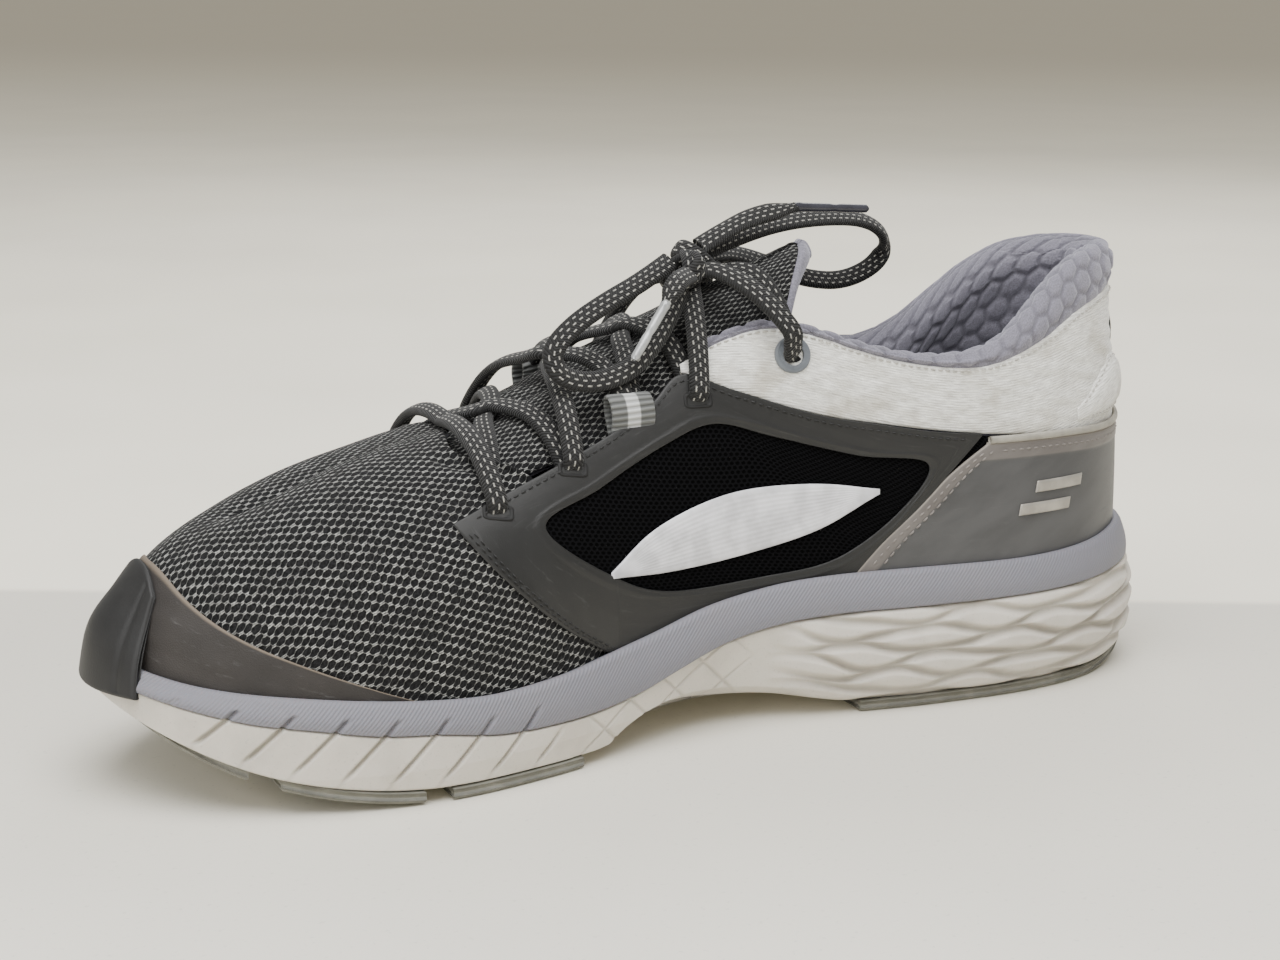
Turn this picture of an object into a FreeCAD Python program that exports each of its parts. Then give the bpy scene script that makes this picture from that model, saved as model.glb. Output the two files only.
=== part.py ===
"""Running shoe, right foot. Millimetres, +Z up.

The toe points to -X and the heel to +X. The medial side (big toe, arch) is -Y and the lateral side +Y.
The origin lies on the ground, under the middle of the shoe's length and width.
The upper's outer skin is one smooth surface, skin(), that rises from the outline of the foot bed to a
ridge over the instep. Panels are slabs on that surface, each in its own layer of offsets, so they stack
as the real cloth, film and foam do.
"""
import FreeCAD
import Part
import math
import os

V = FreeCAD.Vector

# ---------------------------------------------------------------- driving dimensions

# Outline of the upper where it meets the foot bed: x, y, from the heel along the medial side.
OUTLINE = [(146, 0), (141, -15), (124, -27), (100, -32.5), (70, -32), (40, -29), (12, -28.5),
           (-18, -33.5), (-48, -42), (-75, -47), (-100, -45.5), (-122, -38.5), (-138, -27),
           (-146, -12), (-146, 2), (-138, 16), (-120, 31), (-98, 42), (-70, 50), (-40, 53),
           (-10, 51), (20, 46), (50, 40), (80, 36), (105, 33), (125, 27), (141, 15)]
TOE_INDEX = 13.5              # the toe tip, as a place in OUTLINE

# Heights along x. FOOTBED is where the upper starts, RIM the top edge of the foam deck.
FOOTBED = [(-150, 27), (-132, 23), (-111, 20.5), (-78, 17), (-62, 16), (-44, 17), (-31, 19),
           (-15, 22), (1, 26), (13, 28), (31, 30), (60, 30.5), (100, 30), (125, 31), (150, 34)]
RIM_RISE = 7.5                # from the foot bed to the rim's top edge
DECK_UNDER = [(-152, 31), (-143, 29), (-133, 26), (-121, 23), (-108, 21), (-94, 18.5), (-79, 17),
              (-63, 14.2), (-46, 13.5), (-33, 14), (-20, 16), (-7, 20), (6, 24), (24, 27),
              (41, 28), (60, 28), (89, 28), (120, 28.5), (153, 31)]
GROUND = [(-153, 29), (-146, 22), (-136, 15), (-124, 9), (-110, 4.5), (-95, 1.6), (-82, 0.3),
          (-70, 0), (-35, 0), (-24, 1.5), (-10, 4), (6, 5), (22, 4), (36, 1.5), (46, 0), (120, 0),
          (132, 1.2), (143, 4), (153, 9)]
FLAT_FORE = (-70, -35)        # the ground line is level between these
FLAT_HEEL = (46, 120)
REACH = (-156, 156)
RIDGE = [(-115, 63), (-95, 71), (-82, 75), (-68, 78), (-52, 82), (-34, 90), (-18, 97.5),
         (0, 106), (15, 114), (30, 124), (45, 133), (60, 141), (80, 148), (100, 150), (122, 150)]
RIDGE_Y = [(-115, -6), (-80, -1), (-40, 3), (0, 5), (50, 4), (122, 0)]
RIDGE_SCALE = 0.79            # the ridge is this much shorter than the outline
RIDGE_SHIFT = 3.0
FULLNESS = [(-150, 2.1), (-90, 2.15), (-40, 2.3), (0, 2.5), (60, 2.4), (120, 2.3)]
HEEL_FLARE = 4.0              # how far the top of the heel leans back over the Achilles

# Collar top line and the line between collar panel and quarter, medial side: x, z.
COLLAR_TOP = [(0, 95.5), (14, 101), (27, 103.5), (39, 101.5), (50, 98), (66, 95), (82, 94.5),
              (94, 98), (105, 105), (114, 111.5), (123, 117), (133, 119.5)]
PANEL_TOP = [(0, 95.5), (14, 101), (27, 103.5), (39, 101), (50, 97), (62, 93.5), (78, 91),
             (90, 91.5), (105, 96), (122, 103.5), (134, 107)]
COLLAR_LOW = [(0, 94), (18, 87), (37, 81), (55, 77.5), (77, 74), (100, 71.5), (120, 70), (134, 69)]
LATERAL_DROP = 4.0            # the collar is cut this much lower on the lateral side
HEEL_TOP_Z = 120.0
PANEL_BACK_Z = 108.5
PAD_LOW = 67.0                # the collar's foam starts here, above the heel stiffener
HEEL_SEAM_Z = 70.0

# Layers of the upper, as offsets from its outer skin.
FABRIC = 1.2
GAP = 0.12                    # clearance between layers that are glued or sewn together
LINING = 0.8
FILM = 0.8
STIFFENER = 1.4
COLLAR_PAD = [(0, 0.6), (0.35, 5.5), (0.7, 8.2), (0.9, 8.8), (1, 7.5)]   # depth, from its foot up
TONGUE_PAD = 3.4
OUTSOLE = 3.0
INSOLE = 4.0
STROBEL = 1.4

# Eyelets on the medial side, toe to ankle: x, z. The third one is a webbing loop.
EYELETS = [(-57, 65.0), (-35, 73.0), (3, 86.5), (31, 96.5)]
LOOP_EYELET = (-16, 82.0)
LACE_WIDE = 6.4
LACE_THICK = 2.4

CENTRE = V(-0.27, 2.89, 0)     # the middle of the finished shoe, which becomes the origin

NODES = {}


# ---------------------------------------------------------------- curves through points

def smooth(table, x):
    """The value at x of a smooth curve through (x, value) pairs."""
    if x <= table[0][0]:
        return table[0][1]
    if x >= table[-1][0]:
        return table[-1][1]
    i = max(k for k in range(len(table) - 1) if table[k][0] <= x)

    def slope(k):
        a, b = table[max(k - 1, 0)], table[min(k + 1, len(table) - 1)]
        return (b[1] - a[1]) / (b[0] - a[0])

    (x0, y0), (x1, y1) = table[i], table[i + 1]
    h = x1 - x0
    t = (x - x0) / h
    m0, m1 = slope(i) * h, slope(i + 1) * h
    return (y0 * (2 * t**3 - 3 * t**2 + 1) + m0 * (t**3 - 2 * t**2 + t)
            + y1 * (3 * t**2 - 2 * t**3) + m1 * (t**3 - t**2))


def outline(u):
    """The foot bed's outline at u, a place in OUTLINE: (x, y) and the outward normal."""
    n = len(OUTLINE)
    i, t = int(math.floor(u)), u - math.floor(u)
    p = [OUTLINE[(i + k - 1) % n] for k in range(4)]
    at, to = [], []
    for k in (0, 1):
        a, b, c, d = (q[k] for q in p)
        at.append(0.5 * (2 * b + (c - a) * t + (2 * a - 5 * b + 4 * c - d) * t**2
                         + (3 * b - a - 3 * c + d) * t**3))
        to.append(0.5 * ((c - a) + 2 * (2 * a - 5 * b + 4 * c - d) * t
                         + 3 * (3 * b - a - 3 * c + d) * t**2))
    size = math.hypot(*to)
    return at, (-to[1] / size, to[0] / size)


def solve(f, lo, hi, target):
    """x between lo and hi where f(x) is target, for an f that only rises or only falls."""
    rising = f(hi) > f(lo)
    for _ in range(40):
        mid = (lo + hi) / 2
        if (f(mid) < target) == rising:
            lo = mid
        else:
            hi = mid
    return (lo + hi) / 2


# ---------------------------------------------------------------- the skin of the upper

def section(u):
    """The foot of the skin's section at u, its top on the ridge, and its fullness."""
    (x, y), _ = outline(u)
    xt = RIDGE_SHIFT + RIDGE_SCALE * x
    foot = V(x, y, smooth(FOOTBED, x))
    top = V(xt, smooth(RIDGE_Y, xt), smooth(RIDGE, xt))
    return foot, top, smooth(FULLNESS, x)


def flare(x, z):
    """How far the heel leans back at height z."""
    up = min(max((z - 92) / 24, 0), 1)
    back = min(max((x - 95) / 40, 0), 1)
    return HEEL_FLARE * up * up * back


def bare(u, v):
    """A point of the skin: v is 0 at the foot bed and 1 on the ridge."""
    foot, top, n = section(u)
    a = min(max(v, 1e-4), 1) * math.pi / 2
    c, s = max(math.cos(a), 0) ** (2 / n), math.sin(a) ** (2 / n)
    z = foot.z + (top.z - foot.z) * s
    x = top.x + (foot.x - top.x) * c
    return V(x + flare(x, z), top.y + (foot.y - top.y) * c, z)


def skin(u, v, off=0.0):
    """A point of the skin, moved out along its normal by off."""
    d = 2e-3
    v = min(max(v, d), 1 - 1e-5)
    p = bare(u, v)
    normal = (bare(u + d, v) - bare(u - d, v)).cross(bare(u, min(v + d, 1)) - bare(u, v - d))
    normal.normalize()
    return p - normal * off if normal.dot(p - V(p.x * 0.8, 0, 20)) < 0 else p + normal * off


def v_of(u, z):
    """The v of the skin at height z."""
    foot, top, n = section(u)
    q = min(max((z - foot.z) / (top.z - foot.z), 0), 1)
    return math.asin(q ** (n / 2)) * 2 / math.pi


def u_of(side, x, z):
    """The place in the outline of the skin's point at x and z, on side -1 (medial) or 1."""
    lo, hi = (0, TOE_INDEX) if side < 0 else (TOE_INDEX, len(OUTLINE))
    return solve(lambda u: bare(u, v_of(u, z)).x, lo, hi, x)


def top_v(c):
    """How far up the skin reaches in the plane x = c: to the ridge, or short of it at the toe."""
    if bare(TOE_INDEX, 1).x <= c:
        return 1.0
    return solve(lambda v: bare(TOE_INDEX, v).x, 0, 1, c)


def across(c, b):
    """(u, v) of the skin in the plane x = c: b is -1 at the medial edge, 0 on top, 1 lateral."""
    v = top_v(c) * math.sin((1 - min(abs(b), 1)) * math.pi / 2)
    lo, hi = (0, TOE_INDEX) if b <= 0 else (TOE_INDEX, len(OUTLINE))
    return solve(lambda u: bare(u, v).x, lo, hi, c), v


# ---------------------------------------------------------------- solids from grids

def places(count):
    """Where a cubic spline of that many poles has them, from 0 to 1."""
    spans = count - 3
    knots = [0, 0, 0] + list(range(spans + 1)) + [spans] * 3
    return [sum(knots[k + 1:k + 4]) / 3 / spans for k in range(count)]


def sharpen(row):
    """Moves poles outwards a little, so that the spline passes through the points."""
    out = list(row)
    for k in range(3, len(row) - 3):
        out[k] = row[k] - (row[k - 1] - row[k] * 2 + row[k + 1]) * (1 / 6)
    return out


def poles_of(point, off, nu, nv):
    """A grid of poles whose cubic spline surface passes through point(a, b, off)."""
    value = off if callable(off) else lambda a, b: off
    rows = [sharpen([point(a, b, value(a, b)) for b in places(nv)]) for a in places(nu)]
    return [list(row) for row in zip(*[sharpen(col) for col in zip(*rows)])]


def spline_face(rows):
    """A face from a grid of poles, cubic along each direction that has four or more."""
    degrees, mults = [], []
    for count in (len(rows), len(rows[0])):
        degree = 3 if count > 3 else 1
        spans = count - degree
        degrees.append(degree)
        mults.append([degree + 1] + [1] * (spans - 1) + [degree + 1])
    knots = [[float(k) for k in range(len(m))] for m in mults]
    surface = Part.BSplineSurface()
    surface.buildFromPolesMultsKnots(rows, *mults, *knots, False, False, *degrees)
    return surface.toShape()


def slab(point, inner, outer, nu, nv):
    """A solid between two layers, each a spline surface of nu by nv poles.

    point(a, b, off) gives their places, with a and b from 0 to 1. inner and outer are offsets.
    """
    low, high = poles_of(point, inner, nu, nv), poles_of(point, outer, nu, nv)
    faces = [spline_face(low), spline_face(high),
             spline_face([low[0], high[0]]), spline_face([low[-1], high[-1]]),
             spline_face([[r[0] for r in low], [r[0] for r in high]]),
             spline_face([[r[-1] for r in low], [r[-1] for r in high]])]
    shell = Part.makeCompound(faces)
    shell.sewShape(1e-3)
    solid = Part.makeSolid(shell.Shells[0])
    if solid.Volume < 0:
        solid.reverse()
    return solid


def keep(name, *solids):
    """Puts the solids in the node of that name."""
    found = [s.translated(-CENTRE) for shape in solids for s in shape.Solids]
    bad = [s for s in found if not s.isValid()]
    volume = sum(s.Volume for s in found)
    print(f"{name}: {len(found)} solids, {volume:.0f} mm3"
          + (f", {len(bad)} NOT VALID" if bad or volume <= 0 else ""))
    NODES[name] = found


def corners_patch(side, bottom, top):
    """A patch of the side of the upper between two lines of (x, z) points, from front to back."""
    def line(points, a):
        k = a * (len(points) - 1)
        xs = [(i, p[0]) for i, p in enumerate(points)]
        zs = [(i, p[1]) for i, p in enumerate(points)]
        return smooth(xs, k), smooth(zs, k)

    ends = [[u_of(side, x, z) for x, z in (line(points, k / 16) for k in range(17))]
            for points in (bottom, top)]

    def point(a, b, off):
        u = [smooth(list(enumerate(e)), a * 16) for e in ends]
        z = [line(points, a)[1] for points in (bottom, top)]
        uu = u[0] + (u[1] - u[0]) * b
        return skin(uu, v_of(uu, z[0] + (z[1] - z[0]) * b), off)

    return point


# ---------------------------------------------------------------- sole unit

def ring(off, z, waist=0.0):
    """The outline, moved out by off, as a closed wire at height z. waist draws the arch in."""
    points = []
    count = 2 * len(OUTLINE)
    for k in range(count):
        (x, y), (nx, ny) = outline(k / 2)
        pull = waist * math.exp(-((x - 6) / 26) ** 2) if y < 0 else 0
        points.append(V(x + nx * (off - pull), y + ny * (off - pull), z))
    curve = Part.BSplineCurve()
    curve.interpolate(points, PeriodicFlag=True)
    return Part.Wire(curve.toShape())


def height_line(height):
    """Edges along x at the given height, straight where the shoe stands."""
    stops = [REACH[0], *FLAT_FORE, *FLAT_HEEL, REACH[1]]
    edges = []
    for k, (x0, x1) in enumerate(zip(stops, stops[1:])):
        level = k % 2 and height(x0) == height(x1) == height((x0 + x1) / 2)
        steps = 1 if level else max(int((x1 - x0) / 5), 3)
        points = [V(x0 + (x1 - x0) * i / steps, -90, height(x0 + (x1 - x0) * i / steps))
                  for i in range(steps + 1)]
        if level:
            edges.append(Part.makeLine(*points))
        else:
            curve = Part.BSplineCurve()
            curve.interpolate(points)
            edges.append(curve.toShape())
    return edges


def block(low, high):
    """A solid across the whole width, between two heights given along x."""
    ends = [Part.makeLine(V(x, -90, low(x)), V(x, -90, high(x))) for x in REACH]
    wire = Part.Wire(height_line(low) + [ends[1]] + height_line(high)[::-1] + [ends[0]])
    return Part.Face(wire).extrude(V(0, 180, 0))


def foam_wall():
    return Part.makeLoft([ring(3.0, -3, 7), ring(5.0, 9, 4), ring(5.0, 24, 1), ring(3.6, 48)], True)


def ground(x):
    """The ground line, level where the shoe stands."""
    for lo, hi in (FLAT_FORE, FLAT_HEEL):
        if lo <= x <= hi:
            return 0.0
    return max(smooth(GROUND, x), 0)


def rubber_top(x):
    return ground(x) + OUTSOLE


def deck_under(x):
    return smooth(DECK_UNDER, x)


def rim(x):
    return smooth(FOOTBED, x) + RIM_RISE


ABOVE_RIM = 0.6               # where the films start, clear of the deck


def footbed(x):
    return smooth(FOOTBED, x)


def pad(wall, x0, x1, y0, y1, z1=40):
    """A rubber pad under the midsole, level where it meets the ground."""
    low = block(ground, rubber_top)
    box = Part.makeBox(x1 - x0, y1 - y0, z1 + 4, V(x0, y0, -4))
    return wall.common(box).common(low)


def arch_scoop():
    """The hollow under the medial arch."""
    ball = Part.makeSphere(1)
    matrix = FreeCAD.Matrix()
    matrix.scale(40, 20, 19)
    ball = ball.transformGeometry(matrix)
    ball.translate(V(6, -41, -5))
    return ball


def make_sole():
    wall = foam_wall()
    plug = Part.makeLoft([ring(0.3, 5), ring(0.3, 60)], True)
    midsole = wall.common(block(rubber_top, deck_under)).cut(arch_scoop())
    pocket = plug.common(block(lambda x: min(footbed(x), deck_under(x)) - 0.4,
                               lambda x: footbed(x) + 30))
    keep("midsole", midsole.cut(pocket))

    deck = Part.makeLoft([ring(4.6, 5), ring(4.4, 24), ring(3.4, 46)], True)
    deck = deck.common(block(lambda x: deck_under(x) + 0.05, rim))
    keep("midsole_deck", deck.cut(plug.common(block(footbed, lambda x: footbed(x) + 30))))

    keep("outsole_toe", pad(wall, -155, -124, -60, 60))
    keep("outsole_forefoot_medial", pad(wall, -117, -83, -60, -3), pad(wall, -76, -38, -60, -3))
    keep("outsole_forefoot_lateral", pad(wall, -117, -83, 3, 60), pad(wall, -76, -38, 3, 60))
    keep("outsole_heel_medial", pad(wall, 48, 156, -60, -5).cut(arch_scoop()))
    keep("outsole_heel_lateral", pad(wall, 48, 156, 5, 60))

    strobel = Part.makeLoft([ring(-4.1, 5), ring(-4.1, 60)], True)
    keep("strobel_board", strobel.common(block(lambda x: footbed(x) + 0.1,
                                               lambda x: footbed(x) + STROBEL)))
    sole = Part.makeLoft([ring(-5.8, 5), ring(-5.8, 60)], True)
    base = STROBEL + 0.2
    keep("insole_foam", sole.common(block(lambda x: footbed(x) + base,
                                          lambda x: footbed(x) + base + INSOLE)))
    keep("insole_cover", sole.common(block(lambda x: footbed(x) + base + INSOLE + 0.02,
                                           lambda x: footbed(x) + base + INSOLE + LINING)))


# ---------------------------------------------------------------- upper

SEAM_X = [(-1.0, -27), (-0.8, -36), (-0.6, -50), (-0.45, -62), (-0.3, -60), (0, -54),
          (0.3, -60), (0.45, -62), (0.6, -50), (0.8, -36), (1.0, -27)]


def vamp_point(front, back_shift, back=SEAM_X):
    """Places on the toe box, from the toe at a = 0 to the seam behind it, medial b = 0 to lateral."""
    def point(a, b, off):
        side = 2 * b - 1
        c = front + (smooth(back, side) + back_shift - front) * a
        return skin(*across(c, side), off)

    return point


SEAM_LOW = -27.0
SEAM_TOP = -63.0
QUARTER_TOP = [(-62, 66.5), (-48, 70.5), (-35, 75), (-22, 80), (-10, 86), (0, 92.5), (14, 88),
               (37, 80.3), (55, 76.8), (77, 73.3), (100, 70.8), (120, 69.3), (134, 68.3)]


def quarter_patch(side, back=0.03):
    """The quarter, from its slanted front seam to the seam up the back of the heel."""
    n = len(OUTLINE)
    u_back = back if side < 0 else n - back
    u_low = u_of(side, SEAM_LOW, footbed(SEAM_LOW) + 1)
    drop = 0 if side < 0 else LATERAL_DROP
    tops = []
    for x, z in QUARTER_TOP:
        zz = z - drop * min(max((x + 5) / 15, 0), 1) * min(max((112 - x) / 30, 0), 1)
        tops.append((u_of(side, x, zz), zz))
    tops.append((u_back, HEEL_SEAM_Z - 1.7))

    def point(a, b, off):
        k = a * (len(tops) - 1)
        ut = smooth([(i, t[0]) for i, t in enumerate(tops)], k)
        zt = smooth([(i, t[1]) for i, t in enumerate(tops)], k)
        ub = u_low + (u_back - u_low) * a
        u = ub + (ut - ub) * b
        zb = section(u)[0].z + 0.3
        return skin(u, v_of(u, zb + (zt - zb) * b), off)

    return point


def collar_patch(side):
    """The jersey panel under the collar, from its front tip to the seam up the heel."""
    u_front = u_of(side, 0.5, 95)
    u_back = 0.03 if side < 0 else len(OUTLINE) - 0.03

    def point(a, b, off):
        u = u_front + (u_back - u_front) * a
        low, top = edge_height(COLLAR_LOW, HEEL_SEAM_Z, u) + 0.5, panel_height(u)
        return skin(u, v_of(u, low + (top - low) * b), off)

    return point


def round_heel(front_medial, front_lateral, low, high):
    """Places round the heel, from x = front_medial on one side to front_lateral on the other.

    low and high give heights for a point of the outline.
    """
    n = len(OUTLINE)
    z = 50
    u0 = u_of(-1, front_medial, z)
    u1 = u_of(1, front_lateral, z) - n

    def point(a, b, off):
        u = u0 + (u1 - u0) * a
        zl, zh = low(u), high(u)
        return skin(u, v_of(u, zl + (zh - zl) * b), off)

    return point


def edge_height(table, at_back, u):
    """Height at u, any place round the heel, of an edge given along x on the medial side."""
    p = bare(u, v_of(u, 90))
    if p.x >= table[-1][0]:
        t = min((p.x - table[-1][0]) / 7, 1)
        return table[-1][1] + (at_back - table[-1][1]) * t
    lateral = u % len(OUTLINE) > TOE_INDEX
    drop = LATERAL_DROP * min(max((112 - p.x) / 30, 0), 1) * min(max((p.x + 5) / 15, 0), 1)
    return smooth(table, p.x) - (drop if lateral else 0)


def collar_height(u, shift=0.0):
    return edge_height(COLLAR_TOP, HEEL_TOP_Z, u) + shift


def panel_height(u, shift=0.0):
    return edge_height(PANEL_TOP, PANEL_BACK_Z, u) + shift


def hole(u, z, wide, tall, deep=8.0):
    """A cutter for an oblong hole through the skin, wide across the shoe's length."""
    v = v_of(u, z)
    p = skin(u, v)
    out = skin(u, v, 1.0) - p
    if tall >= wide:
        return Part.makeCylinder(wide / 2, 2 * deep, p - out * deep, out)
    box = Part.makeBox(wide, tall, 2 * deep, V(-wide / 2, -tall / 2, -deep))
    up = (skin(u, v + 0.02) - skin(u, v - 0.02))
    up.normalize()
    side = up.cross(out)
    m = FreeCAD.Matrix(side.x, up.x, out.x, p.x, side.y, up.y, out.y, p.y,
                       side.z, up.z, out.z, p.z, 0, 0, 0, 1)
    box.transformShape(m)
    return box


def eyelet_holes(side, spots, wide, tall):
    cutters = []
    for x, z in spots:
        cutters.append(hole(u_of(side, x, z), z, wide, tall))
    return cutters


def cut_all(shape, cutters):
    for c in cutters:
        shape = shape.cut(c)
    return shape


WINDOW = [(-45, 60.5), (-28, 68), (-8, 76.5), (7, 80.5), (24, 76), (48, 69.5), (68, 66),
          (60, 54), (42, 42.5), (20, 39.5), (-8, 39.5), (-26, 46)]


def window_cutter(side):
    """The opening of the saddle, as a prism across the side of the shoe."""
    curve = Part.BSplineCurve()
    y = 0
    curve.interpolate([V(x, y, z) for x, z in WINDOW], PeriodicFlag=True)
    return Part.Face(Part.Wire(curve.toShape())).extrude(V(0, side * 80, 0))


SADDLE_LOW = [(-24, 0), (0, 0), (20, 0), (40, 0)]
SADDLE_TOP = [(-69, 63), (-48, 70.5), (-35, 75), (-22, 80), (-10, 86), (0, 92.5), (14, 87.5),
              (37, 80), (55, 76.5), (73, 72.5)]


def saddle_patch(side):
    """The film that frames the side of the shoe, from the toe seam to the heel foxing."""
    drop = 0 if side < 0 else LATERAL_DROP
    tops = []
    for x, z in SADDLE_TOP:
        zz = z - drop * min(max((x + 5) / 15, 0), 1)
        tops.append((u_of(side, x, zz), zz))
    lows = [u_of(side, x, rim(x) + 1) for x, _ in SADDLE_LOW]

    def point(a, b, off):
        k = a * (len(tops) - 1)
        ut = smooth([(i, t[0]) for i, t in enumerate(tops)], k)
        zt = smooth([(i, t[1]) for i, t in enumerate(tops)], k)
        ub = smooth(list(enumerate(lows)), a * (len(lows) - 1))
        u = ub + (ut - ub) * b
        zb = rim(bare(u, 0.1).x) + ABOVE_RIM
        return skin(u, v_of(u, zb + (zt - zb) * b), off)

    return point


def foxing_front(z, side):
    """x of the foxing's slanted front edge at height z."""
    return smooth([(30, 40), (45, 54), (55, 66), (63, 75), (70, 86)], z)


def foxing_patch():
    """The grey film round the heel, with slanted front edges."""
    n = len(OUTLINE)
    z_top = [(0, 70.5), (0.12, 70.0), (0.3, 69.0), (0.5, 71.5), (0.7, 69.0), (0.88, 68.5), (1, 67.5)]

    def ends(z):
        return u_of(-1, foxing_front(z, -1), z), u_of(1, foxing_front(z, 1), z) - n

    table = [(z, ends(z)) for z in range(30, 74, 4)]
    left = [(z, e[0]) for z, e in table]
    right = [(z, e[1]) for z, e in table]

    def point(a, b, off):
        zt = smooth(z_top, a)
        low = smooth(left, 39) * (1 - a) + smooth(right, 39) * a
        zb = rim(bare(low, 0.1).x) + ABOVE_RIM
        z = zb + (zt - zb) * b
        u = smooth(left, z) * (1 - a) + smooth(right, z) * a
        return skin(u, v_of(u, z), off)

    return point


def toe_cap_patch():
    """The film round the toe, tallest in front and tapering back along both sides."""
    u0 = u_of(-1, -80, rim(-80) + 1)
    u1 = u_of(1, -72, rim(-72) + 1)
    tall = [(0, 2.0), (0.18, 11), (0.36, 20), (0.5, 21), (0.64, 20), (0.82, 11), (1, 2.0)]

    def point(a, b, off):
        u = u0 + (u1 - u0) * a
        zb = rim(bare(u, 0.1).x) + ABOVE_RIM
        z = zb + (smooth(tall, a) - ABOVE_RIM) * b
        return skin(u, v_of(u, z), off)

    return point


def make_upper():
    lining_out = -FABRIC - GAP
    vamp = slab(vamp_point(-143.5, -0.6), -FABRIC, 0, 26, 30)
    for side in (-1, 1):
        behind_seam = slab(quarter_patch(side), -FABRIC - 1.5, 1.5, 40, 14)
        for step in (V(-0.35, 0, 0.25), V(-0.35, 0, -0.6)):
            vamp = vamp.cut(behind_seam.translated(step))
    keep("vamp_mesh", max(vamp.Solids, key=lambda solid: solid.Volume))
    keep("toe_puff", slab(vamp_point(-141, 0, [(-1, -118), (1, -116)]), lining_out - LINING,
                          lining_out, 8, 24))
    inside = lining_out - LINING - GAP
    keep("vamp_lining", slab(vamp_point(-139, 0, [(-1, -79), (1, -77)]), inside - LINING, inside,
                             16, 30))

    lace_slots = {}
    for side, name in ((-1, "medial"), (1, "lateral")):
        drop = 0 if side < 0 else LATERAL_DROP
        slots = eyelet_holes(side, EYELETS[:3], 7.6, 3.6)
        x, z = EYELETS[3]
        u = u_of(side, x, z - drop)
        grommet_hole = hole(u, z - drop, 8.0, 8.0)
        lace_slots[side] = slots
        keep("quarter_mesh_" + name,
             cut_all(slab(quarter_patch(side), -FABRIC, 0, 40, 14), slots + [grommet_hole]))
        keep("saddle_overlay_" + name,
             cut_all(slab(saddle_patch(side), GAP, GAP + FILM, 34, 14),
                     slots + [window_cutter(side), hole(u, z - drop, 13, 13)]))
        keep("collar_panel_" + name,
             cut_all(slab(collar_patch(side), -FABRIC, 0, 40, 8), [grommet_hole]))

    def pad_face(a, b):
        edge = math.sin(math.pi * min(max(a, 0), 1)) ** 0.5
        return lining_out - 0.3 - edge * smooth(COLLAR_PAD, b)

    stiff = round_heel(84, 84, lambda u: section(u)[0].z + 0.5, lambda u: PAD_LOW - 1)
    keep("heel_stiffener", slab(stiff, lining_out - STIFFENER, lining_out - GAP, 30, 8))
    low_lining = round_heel(40, 40, lambda u: section(u)[0].z + 0.8, lambda u: PAD_LOW - 1)
    behind = lining_out - STIFFENER - GAP
    keep("heel_lining", slab(low_lining, behind - LINING, behind, 40, 8))
    foam = round_heel(40, 40, lambda u: PAD_LOW, lambda u: collar_height(u, -1.5))
    keep("collar_foam", slab(foam, pad_face, lining_out, 40, 12))
    cover = round_heel(40, 40, lambda u: PAD_LOW, lambda u: collar_height(u, -1.4))
    cap = round_heel(40, 40, lambda u: collar_height(u, -1.3), lambda u: collar_height(u, -0.5))
    wrap = round_heel(58, 58, lambda u: panel_height(u, 0.7), lambda u: collar_height(u, -1.4))

    def cap_face(a, b):
        # towards the front the jersey reaches the collar's top, so the cap stays behind it
        return lining_out - 0.1 + (0.9 + GAP) * min(max((min(a, 1 - a) - 0.10) / 0.06, 0), 1)

    keep("collar_lining",
         slab(cover, lambda a, b: pad_face(a, b) - 0.1 - LINING,
              lambda a, b: pad_face(a, b) - 0.1, 40, 12),
         slab(cap, lambda a, b: pad_face(a, 1) - 0.1 - LINING, cap_face, 40, 5),
         slab(wrap, -FABRIC, -0.4, 34, 5))

    keep("heel_foxing", slab(foxing_patch(), GAP, GAP + FILM, 44, 8))
    keep("toe_cap_overlay", slab(toe_cap_patch(), GAP, GAP + FILM, 40, 8))


def toe_bumper_patch():
    """The rubber guard over the toe's tip, broadest at the foam."""
    def point(a, b, off):
        u = TOE_INDEX + (2 * a - 1) * (2.3 - 0.85 * b)
        zb = rim(bare(u, 0.1).x) + ABOVE_RIM
        return skin(u, v_of(u, zb + 18.4 * b * (1 - 0.25 * (2 * a - 1) ** 2)), off)

    return point


BARS = [(101.5, 121.5, 55.2, 58.6), (95, 115, 50.2, 53.6)]    # x from, x to, z from, z to
BLADE_LOW = [(-27, 45.6), (-8, 44.6), (14, 46), (36, 50.5), (54, 59)]
BLADE_TOP = [(-27, 47.0), (-12, 56.5), (10, 62.5), (34, 63), (54, 60.2)]
HEEL_TAB_Z = 88.0
HEEL_PATCH = [(0, 3), (0.22, 10), (0.45, 16.2), (0.62, 15.5), (1, 9)]


def heel_patch_point(side):
    """The padded triangle beside the back seam."""
    u0 = u_of(side, 118, 80)
    u1 = 0.1 if side < 0 else len(OUTLINE) - 0.1

    def point(a, b, off):
        u = u0 + (u1 - u0) * a
        return skin(u, v_of(u, 73.7 + smooth(HEEL_PATCH, a) * b), off)

    return point


def foxing_piping():
    """The piped edge along the top of the foxing, as seen from the medial front round the back."""
    inner = foxing_patch()

    def point(a, b, off):
        p, q = inner(a, 1.0, off), inner(a, 0.94, off)
        up = p - q
        up.normalize()
        return p + up * (0.12 + 1.8 * b)

    return point


# ---------------------------------------------------------------- tongue

TONGUE_ROOT = -71.0
TONGUE_TIP = 41.0
TONGUE_REACH = [(-71, 0.56), (-40, 0.62), (0, 0.70), (41, 0.62)]   # how far down its sides go
TONGUE_OUT = 4.4              # from the skin to the tongue's face, at the laces
TONGUE_SINK = 5.4             # how much deeper it lies at its tip


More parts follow.
